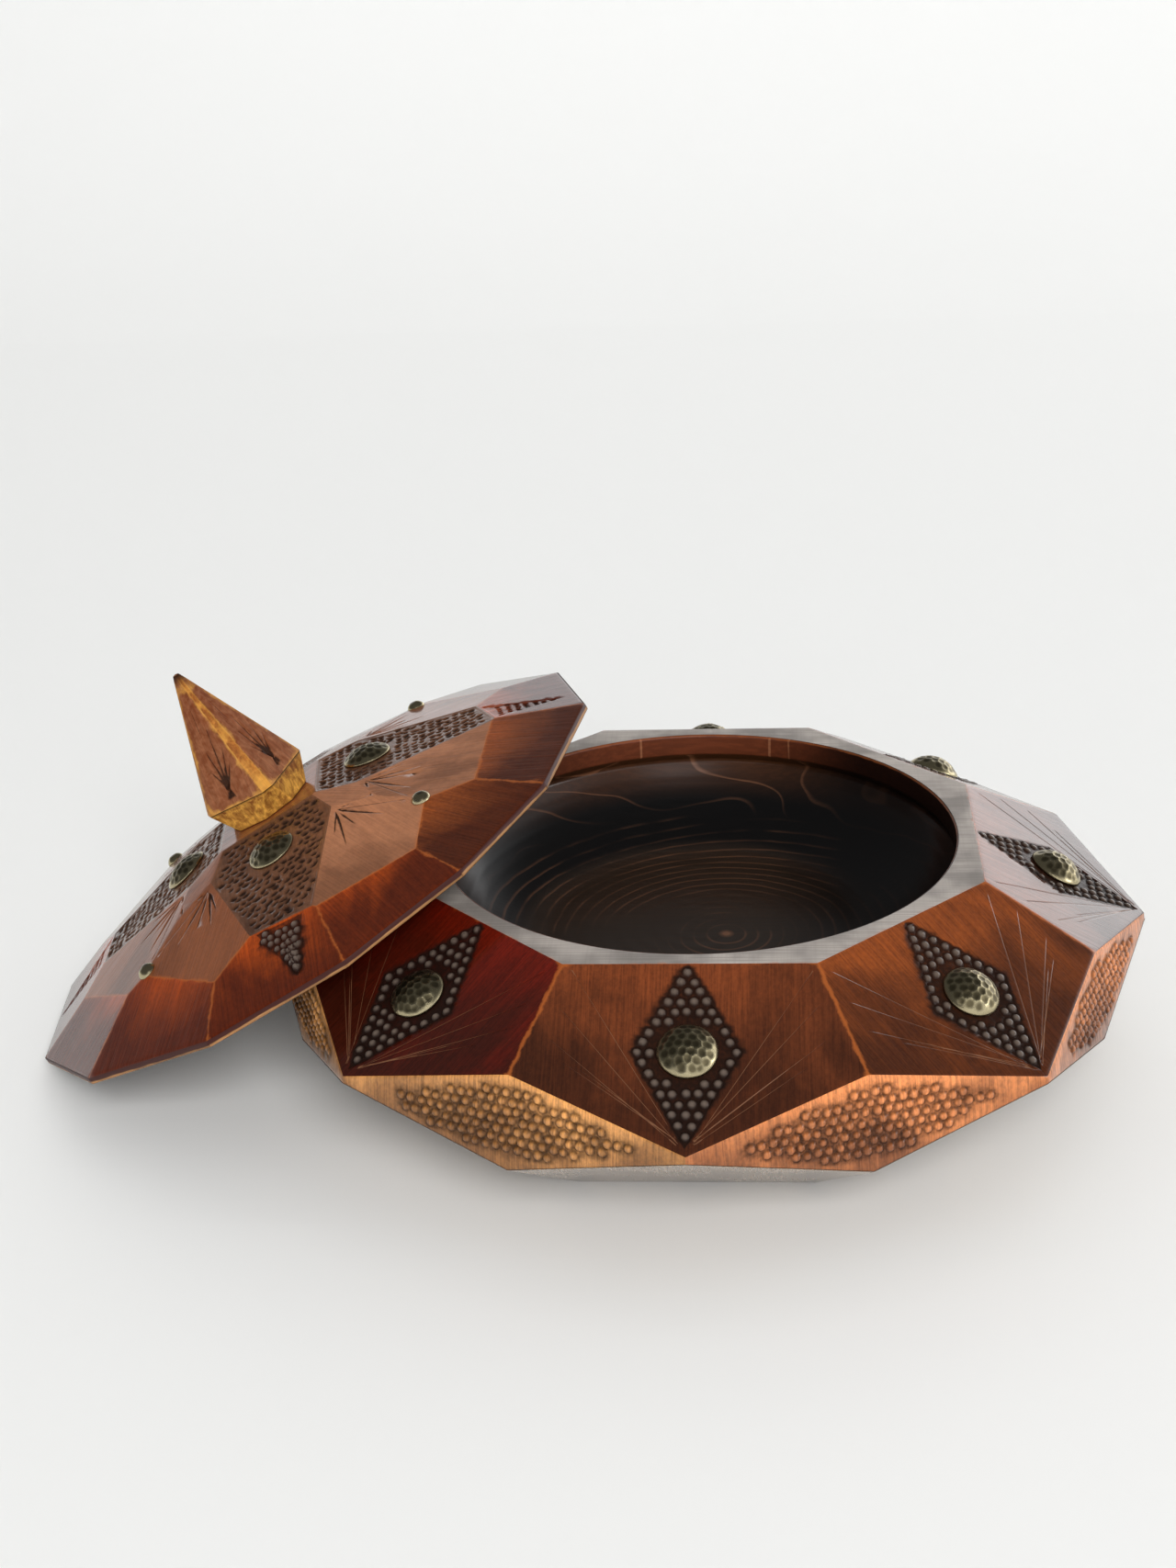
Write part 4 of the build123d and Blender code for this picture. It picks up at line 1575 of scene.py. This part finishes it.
def make_lid():
    sizes, carving_sizes = settings().box_lid, settings().box_carving
    colours = settings().box_colours
    spigot = settings().box_bowl.mouth_across / MM / 2 - sizes.spigot_clearance / MM
    rays = lid_rays(carving_sizes)
    level = Vector((0, 1, 0))
    skin = Skin()
    for facet in lid_facets(sizes):
        number = facet.number
        carving = Carving()
        if facet.kind == "under":
            board = Board(facet.normal, Vector(), level)
            hole = round_hole(spigot, 0.0)
            patch(skin, facet, board, carving, 3, colours.rim, 61, hole=hole, edge=0.4, step=4.0)
        elif facet.kind == "seat":
            board = Board(facet.normal, Vector((0, 0, sizes.seat / MM)), level)
            patch(skin, facet, board, carving, 1, colours.rosewood, 62, edge=0.4, step=3.0)
        elif facet.kind == "edge":
            board = Board(facet.normal, facet.middle())
            patch(skin, facet, board, carving, 2, colours.raw_edge, 63 + number, edge=0.4)
        else:
            azimuth = math.atan2(facet.normal.y, facet.normal.x)
            top = facet.normal.dot(facet.corners[0]) / facet.normal.z
            board = Board(facet.normal, Vector((0, 0, top)))
            carve_lid(facet, carving, board, azimuth, rays)
            stain = lid_tint(facet.kind, azimuth, colours)
            finish = 0 if facet.kind == "outer" else 1
            seed = 41 + number * 2 + finish
            patch(skin, facet, board, carving, finish, stain, seed, edge=carving_sizes.rub_width / MM)
    turned_rings(skin, underside_outline(sizes, spigot), 3, colours.inside, up=False)
    finishes = [
        stained_wood("lid edge facet wood", top_glow=0.7, gather=0.95, low=colours.low_red),
        stained_wood("lid inner facet wood", wear=0.45, top_glow=0.1, gather=0.15, contrast=0.5),
        sawn_wood("lid edge wood", colours.raw_edge, 0.5, colours.low_red),
        dish_wood("lid underside wood"),
    ]
    made = skin.mesh("lid", finishes, lid_place())
    return dress(made, "lid", "lid_wood", "lid_body")


def underside_outline(sizes, spigot):
    """Rings of the spigot and the dish under the lid, from outside to the middle."""
    low = -sizes.spigot_height / MM
    inner = spigot - sizes.spigot_wall / MM
    top = sizes.hollow_across / MM / 2
    depth = sizes.hollow_depth / MM
    rings = [(spigot, 0, 0.0), (spigot, low + 0.3, 0.3), (spigot - 0.3, low, 0.6)]
    rings += [(inner + 0.3, low, 0.6), (inner, low + 0.3, 0.3), (inner, 0, 0.0)]
    for i in range(1, 13):
        rings.append((inner + (top - inner) * i / 12, depth * i / 12, 0.0))
    for i in range(1, 9):
        rings.append((top * (1 - i / 9), depth + 0.02 * math.sin(2 * i), 0.0))
    rings.append((0, depth, 0.0))
    return rings


# The finial
def rising_cut(kind, number, azimuth, low_radius, low, high_radius, high):
    """A plane through two points at one azimuth."""
    rise = math.atan2(low_radius - high_radius, high - low)
    return cut(kind, number, spot(low_radius, azimuth, low), azimuth, rise)


def finial_facets(sizes):
    """The finial as a block cut by its long faces, their cut corners and its spreading foot."""
    half = sizes.across / MM / 2
    tip = sizes.tip_across / MM / 2
    foot = sizes.foot_across / MM / 2
    corner = half * math.sqrt(2) - sizes.corner_cut / MM
    wide, top = sizes.wide_height / MM, sizes.height / MM
    cuts = []
    for quarter in range(QUARTERS):
        azimuth = quarter * math.pi / 2
        edge = azimuth + math.pi / 4
        cuts.append(rising_cut("face", quarter, azimuth, half, wide, tip, top))
        cuts.append(rising_cut("corner", quarter, edge, corner, wide, tip, top))
        cuts.append(rising_cut("foot", quarter, azimuth, foot, 0, half, wide))
        cuts.append(rising_cut("foot", quarter + 4, edge, foot, 0, corner, wide))
    cuts.append(("tip", 0, UP.copy(), top))
    cuts.append(("base", 0, -UP, 0.0))
    return block_facets(cuts)


def leaf_cuts(carving, luck, sizes):
    """Gouge cuts that fan out from the foot of a face, and a long vein to the tip."""
    fan = ((-34, 11, 1.0), (-20, 14, 1.2), (-6, 17, 1.3), (8, 14, 1.3), (24, 10, 1.2))
    for turn, reach, width in fan:
        way = math.radians(90 + turn + luck.uniform(-2, 2))
        start = (0.5 * turn / 10, 1.4)
        end = (start[0] + reach * math.cos(way), start[1] + reach * math.sin(way))
        carving.line(start, end, width, GOUGE_DEPTH, True)
    carving.line((-0.6, 17), (0.1, 27), sizes.line_width / MM, sizes.line_depth / MM)


def make_finial():
    sizes, carving_sizes = settings().box_finial, settings().box_carving
    colours = settings().box_colours
    stains = {"face": colours.rose, "corner": colours.amber_honey, "foot": colours.pale_honey}
    skin = Skin()
    for facet in finial_facets(sizes):
        carving = Carving()
        if facet.kind in stains:
            board = Board(facet.normal, facet.middle())
            drop = facet.middle().z - min(c.z for c in facet.corners)
            board.origin = board.solid(0, -drop / max(0.2, math.sqrt(1 - facet.normal.z**2)))
            if facet.kind == "face":
                leaf_cuts(carving, hand(70, facet.number), carving_sizes)
        else:
            board = Board(facet.normal, facet.middle(), Vector((0, 1, 0)))
        stain = stains.get(facet.kind, colours.finial_brown)
        patch(skin, facet, board, carving, 0, stain, 81 + facet.number, edge=0.6, step=1.2)
    turn = Matrix.Rotation(sizes.turn, 4, "Z")
    seat = Matrix.Translation((0, 0, settings().box_lid.seat))
    made = skin.mesh("finial_head", [finial_wood("finial wood")], lid_place() @ seat @ turn)
    return dress(made, "lid", "finial_wood", "finial")


# Studs and tacks
def seat_matrix(point, normal, spin=0.0):
    """Stands a piece on a point, with its own z along the normal. The point is in millimetres."""
    turn = normal.to_track_quat("Z", "Y").to_matrix().to_4x4()
    return Matrix.Translation(point * MM) @ turn @ Matrix.Rotation(spin, 4, "Z")


def hammer_marks(across, pitch, luck):
    """Middles of the hammer marks on a stud, in rough rows."""
    marks = []
    reach = int(across / pitch) + 1
    for row in range(-reach, reach + 1):
        for column in range(-reach, reach + 1):
            x = pitch * (column + 0.5 * (row % 2)) + luck.uniform(-0.13, 0.13) * pitch
            y = pitch * 0.87 * row + luck.uniform(-0.13, 0.13) * pitch
            if math.hypot(x, y) < across / 2 - 0.3 * pitch:
                marks.append((x, y))
    return np.array(marks)


def domed_head(name, across, dome, brim, marks, mark_radius, mark_depth, finish, place):
    """Round head with a domed top, pressed in by the given marks. Sizes are in millimetres."""
    radius = across / 2
    ball = (radius**2 + dome**2) / (2 * dome)
    rings, steps = (44, 84) if len(marks) > 3 else (14, 40)
    turns = [2 * math.pi * k / steps for k in range(steps)]
    grid = [(radius * (i / rings), a) for i in range(1, rings + 1) for a in turns]
    flat = np.array([(0.0, 0.0)] + [(r * math.cos(a), r * math.sin(a)) for r, a in grid])
    away = np.linalg.norm(flat, axis=1)
    height = brim + dome - ball + np.sqrt(np.maximum(ball**2 - away**2, 0))
    press = np.zeros(len(flat))
    for x, y in marks:
        share = np.hypot(flat[:, 0] - x, flat[:, 1] - y) / mark_radius
        press = np.maximum(press, np.clip(1 - share**2, 0, 1))
    press *= np.clip((radius - away) / (0.16 * radius), 0, 1)
    height -= mark_depth * press
    height -= 0.2 * brim * np.clip((away - 0.93 * radius) / (0.07 * radius), 0, 1) ** 2
    points = [Vector((x, y, z)) for (x, y), z in zip(flat, height)]
    points += [spot(radius, a, z) for z in (0.5 * brim, 0.0) for a in turns] + [Vector()]
    ridge = (1 - press).tolist() + [0.5] * (2 * steps) + [0.2]
    skin = Skin()
    skin.add_points(points, ridge, [0.0] * len(points))

    def face(*corners):
        grain = [tuple(points[c] * MM) for c in corners]
        skin.add_face(list(corners), 0, grain, [0.5] * len(corners), (1, 1, 1))

    for k in range(steps):
        j = (k + 1) % steps
        face(0, 1 + k, 1 + j)
        for i in range(rings + 1):
            a, b = 1 + i * steps, 1 + (i + 1) * steps
            face(a + k, b + k, b + j, a + j)
        last = 1 + (rings + 1) * steps
        face(last + j, last + k, len(points) - 1)
    return skin.mesh(name, [finish], place)


def hammered_head(name, across, dome, marks, place):
    """Head of a hammered stud. Its width and dome are in metres."""
    studs = settings().box_studs
    finish = aged_brass("hammered brass", 0.26)
    reach, depth = 0.62 * studs.cell / MM, studs.cell_depth / MM
    across, dome, brim = across / MM, dome / MM, studs.brim / MM
    return domed_head(name, across, dome, brim, marks, reach, depth, finish, place)


def make_bowl_studs():
    sizes, studs = settings().box_bowl, settings().box_studs
    slope = sizes.upper_slope
    drop = studs.from_rim / MM
    radius = rim_radius(sizes) + drop * math.cos(slope)
    height = sizes.height / MM - drop * math.sin(slope)
    for side in range(SIDES):
        azimuth = 2 * math.pi * side / SIDES
        luck = hand(90, side)
        marks = hammer_marks(studs.across / MM, studs.cell / MM, luck)
        normal = direction(azimuth, math.pi / 2 - slope)
        place = seat_matrix(spot(radius, azimuth, height), normal, luck.uniform(0, 1))
        name = f"bowl_stud_head_{side + 1}"
        made = hammered_head(name, studs.across, studs.dome, marks, place)
        dress(made, "bowl", "stud_brass", f"bowl_stud_{side + 1}")


def make_lid_studs():
    sizes, studs = settings().box_lid, settings().box_studs
    radius = studs.lid_radius / MM
    height = sizes.kite_top / MM - radius * math.tan(sizes.kite_slope)
    for quarter in range(QUARTERS):
        azimuth = quarter * math.pi / 2
        marks = hammer_marks(studs.lid_across / MM, studs.cell / MM, hand(110, quarter))
        normal = direction(azimuth, math.pi / 2 - sizes.kite_slope)
        place = lid_place() @ seat_matrix(spot(radius, azimuth, height), normal)
        name = f"lid_stud_head_{quarter + 1}"
        made = hammered_head(name, studs.lid_across, studs.lid_dome, marks, place)
        dress(made, "lid", "stud_brass", f"lid_stud_{quarter + 1}")


def make_tacks():
    sizes, studs = settings().box_lid, settings().box_studs
    finish = aged_brass("smooth brass", 0.22)
    across, dome, brim = studs.tack_across / MM, studs.tack_dome / MM, studs.tack_brim / MM
    radius = studs.tack_radius / MM
    offset = math.pi / 4 - sizes.flank_turn
    height = sizes.flank_top / MM - radius * math.cos(offset) * math.tan(sizes.flank_slope)
    dent_radius, dent_depth = 1.0, 0.12
    for quarter in range(QUARTERS):
        azimuth = (quarter + 0.5) * math.pi / 2
        point = spot(radius, azimuth, height - studs.tack_sink / MM)
        normal = direction(azimuth, math.pi / 2 - sizes.flank_slope)
        place = lid_place() @ seat_matrix(point, normal)
        luck = hand(130, quarter)
        dents = np.array([(luck.uniform(-0.8, 0.8), luck.uniform(-0.8, 0.8)) for _ in range(2)])
        name = f"lid_tack_head_{quarter + 1}"
        made = domed_head(name, across, dome, brim, dents, dent_radius, dent_depth, finish, place)
        dress(made, "lid", "tack_brass", f"lid_tack_{quarter + 1}")


# The stage
def floor_material():
    material, n, shader = new_material("seamless paper")
    place = n.add("ShaderNodeTexCoord").outputs["Object"]
    soft = n.noise(place, 3.0, 2.0)
    base = settings().box_stage.floor
    n.put(shader["Base Color"], n.mix(n.times(soft, 0.05), base, [0.9 * v for v in base]))
    shader["Roughness"].default_value = 0.8
    return material


def swept_sheet(name, outline, material):
    """Wide sheet that follows an outline of (y, z) places."""
    points, faces = [], []
    for y, z in outline:
        points += [(-3.2, y, z), (3.2, y, z)]
    for k in range(len(outline) - 1):
        faces.append((2 * k, 2 * k + 1, 2 * k + 3, 2 * k + 2))
    mesh = bpy.data.meshes.new(name)
    mesh.from_pydata(points, [], faces)
    mesh.polygons.foreach_set("use_smooth", [True] * len(faces))
    mesh.materials.append(material)
    made = bpy.data.objects.new(name, mesh)
    bpy.context.scene.collection.objects.link(made)
    return made


def make_floor():
    """Floor, and a backdrop that curves up from it."""
    material = floor_material()
    swept_sheet("floor", [(-3.0, 0.0), (0.8, 0.0)], material)
    turns = np.linspace(0, math.pi / 2, 24)
    curve = [(0.8 + 1.8 * math.sin(a), 1.8 - 1.8 * math.cos(a)) for a in turns]
    wall = swept_sheet("backdrop", curve + [(2.6, 3.6)], material)
    wall.visible_glossy = False


def soft_light(name, place, target, size, watts, glossy=True, diffuse=True):
    """Large rectangular light that faces a target."""
    data = bpy.data.lights.new(name, "AREA")
    data.shape = "RECTANGLE"
    data.size, data.size_y = size
    data.energy = watts
    made = bpy.data.objects.new(name, data)
    made.location = place
    made.rotation_euler = (Vector(target) - Vector(place)).to_track_quat("-Z", "Y").to_euler()
    made.visible_camera = False
    made.visible_glossy = glossy
    made.visible_diffuse = diffuse
    bpy.context.scene.collection.objects.link(made)


def make_world():
    """Even light for the floor and the wood; gloss sees a pale horizon under a dark ceiling."""
    world = bpy.data.worlds.new("studio")
    world.use_nodes = True
    world.node_tree.nodes.clear()
    n = Nodes(world.node_tree)
    across, _, up = n.split(n.add("ShaderNodeTexCoord").outputs["Generated"])
    tilted = n.math("MULTIPLY_ADD", across, -0.3, up)
    high = n.ramp(tilted, 0.1, 0.5, 1.0, 0.1)
    glossy = n.add("ShaderNodeLightPath").outputs["Is Glossy Ray"]
    share = n.add("ShaderNodeMix", data_type="FLOAT")
    n.put(share.inputs[0], glossy)
    n.put(share.inputs[2], 0.43)
    n.put(share.inputs[3], high)
    back = n.add("ShaderNodeBackground")
    n.put(back.inputs["Color"], (0.975, 0.985, 1.0, 1))
    n.put(back.inputs["Strength"], share.outputs[0])
    n.put(n.add("ShaderNodeOutputWorld").inputs["Surface"], back.outputs[0])
    bpy.context.scene.world = world


def make_lights():
    middle = (-0.03, 0, 0.04)
    soft_light("right back panel", (1.05, 1.15, 0.33), (0, 0, 0.1), (1.7, 0.6), 4.6, diffuse=False)
    soft_light("key", (0.45, -2.1, 1.5), middle, (1.4, 1.0), 53, glossy=False)
    soft_light("glint", (0.45, -2.1, 1.5), middle, (0.7, 0.45), 13, diffuse=False)
    soft_light("right glint", (1.3, -0.25, 0.3), middle, (0.6, 0.32), 2.4, diffuse=False)
    soft_light("low fill", (0.1, -1.6, 0.35), middle, (1.6, 0.4), 2.0, glossy=False)
    soft_light("ceiling", (0.7, 0.2, 1.55), middle, (1.6, 1.6), 2.6, glossy=False)
    soft_light("backdrop wash", (0, 0.8, 2.2), (0, 2.4, 1.45), (2.0, 0.6), 27, glossy=False)
    make_world()


def make_camera():
    stage = settings().box_stage
    data = bpy.data.cameras.new("camera")
    data.lens = stage.lens
    data.sensor_width = 36.0
    made = bpy.data.objects.new("camera", data)
    made.matrix_world = Matrix.Translation(stage.camera)
    for turn, axis in ((stage.yaw, "Z"), (stage.pitch, "X"), (stage.roll, "Y"), (math.pi / 2, "X")):
        made.matrix_world = made.matrix_world @ Matrix.Rotation(turn, 4, axis)
    bpy.context.scene.collection.objects.link(made)
    bpy.context.scene.camera = made


# Operators, panel and properties
class BOX_OT_bowl(bpy.types.Operator):
    """Makes the faceted bowl"""

    bl_idname = "wooden_box.bowl"
    bl_label = "Bowl"

    def execute(self, context):
        make_bowl()
        return {"FINISHED"}


class BOX_OT_bowl_studs(bpy.types.Operator):
    """Makes the eight studs of the bowl"""

    bl_idname = "wooden_box.bowl_studs"
    bl_label = "Bowl studs"

    def execute(self, context):
        make_bowl_studs()
        return {"FINISHED"}


class BOX_OT_lid(bpy.types.Operator):
    """Makes the faceted lid"""

    bl_idname = "wooden_box.lid"
    bl_label = "Lid"

    def execute(self, context):
        make_lid()
        return {"FINISHED"}


class BOX_OT_finial(bpy.types.Operator):
    """Makes the finial"""

    bl_idname = "wooden_box.finial"
    bl_label = "Finial"

    def execute(self, context):
        make_finial()
        return {"FINISHED"}


class BOX_OT_lid_studs(bpy.types.Operator):
    """Makes the four studs of the lid"""

    bl_idname = "wooden_box.lid_studs"
    bl_label = "Lid studs"

    def execute(self, context):
        make_lid_studs()
        return {"FINISHED"}


class BOX_OT_tacks(bpy.types.Operator):
    """Makes the four tacks of the lid"""

    bl_idname = "wooden_box.tacks"
    bl_label = "Tacks"

    def execute(self, context):
        make_tacks()
        return {"FINISHED"}


class BOX_OT_stage(bpy.types.Operator):
    """Makes the floor, the lights and the camera"""

    bl_idname = "wooden_box.stage"
    bl_label = "Stage"

    def execute(self, context):
        make_floor()
        make_lights()
        make_camera()
        return {"FINISHED"}


OPERATORS = (
    BOX_OT_bowl,
    BOX_OT_bowl_studs,
    BOX_OT_lid,
    BOX_OT_finial,
    BOX_OT_lid_studs,
    BOX_OT_tacks,
    BOX_OT_stage,
)

GROUPS = {
    "box_bowl": BowlSizes,
    "box_lid": LidSizes,
    "box_finial": FinialSizes,
    "box_studs": StudSizes,
    "box_carving": CarvingSizes,
    "box_colours": FinishColours,
    "box_stage": StageSettings,
}


class BOX_PT_panel(bpy.types.Panel):
    """Sizes, colours and steps of the wooden box"""

    bl_idname = "BOX_PT_panel"
    bl_label = "Wooden Box"
    bl_space_type = "VIEW_3D"
    bl_region_type = "UI"
    bl_category = "Wooden Box"

    def draw(self, context):
        for operator in OPERATORS:
            self.layout.operator(operator.bl_idname)
        for name, group in GROUPS.items():
            held = getattr(context.scene, name)
            column = self.layout.column(heading=name.replace("box_", "").capitalize())
            for field in group.__annotations__:
                column.prop(held, field)


def register():
    for made in (*GROUPS.values(), *OPERATORS, BOX_PT_panel):
        bpy.utils.register_class(made)
    for name, group in GROUPS.items():
        setattr(bpy.types.Scene, name, PointerProperty(type=group))


def unregister():
    for name in GROUPS:
        delattr(bpy.types.Scene, name)
    for made in (BOX_PT_panel, *reversed(OPERATORS), *reversed(GROUPS.values())):
        bpy.utils.unregister_class(made)


def main():
    register()
    bpy.context.scene.view_settings.view_transform = "Standard"
    for operator in OPERATORS:
        group, name = operator.bl_idname.split(".")
        getattr(getattr(bpy.ops, group), name)()


if __name__ == "__main__":
    main()
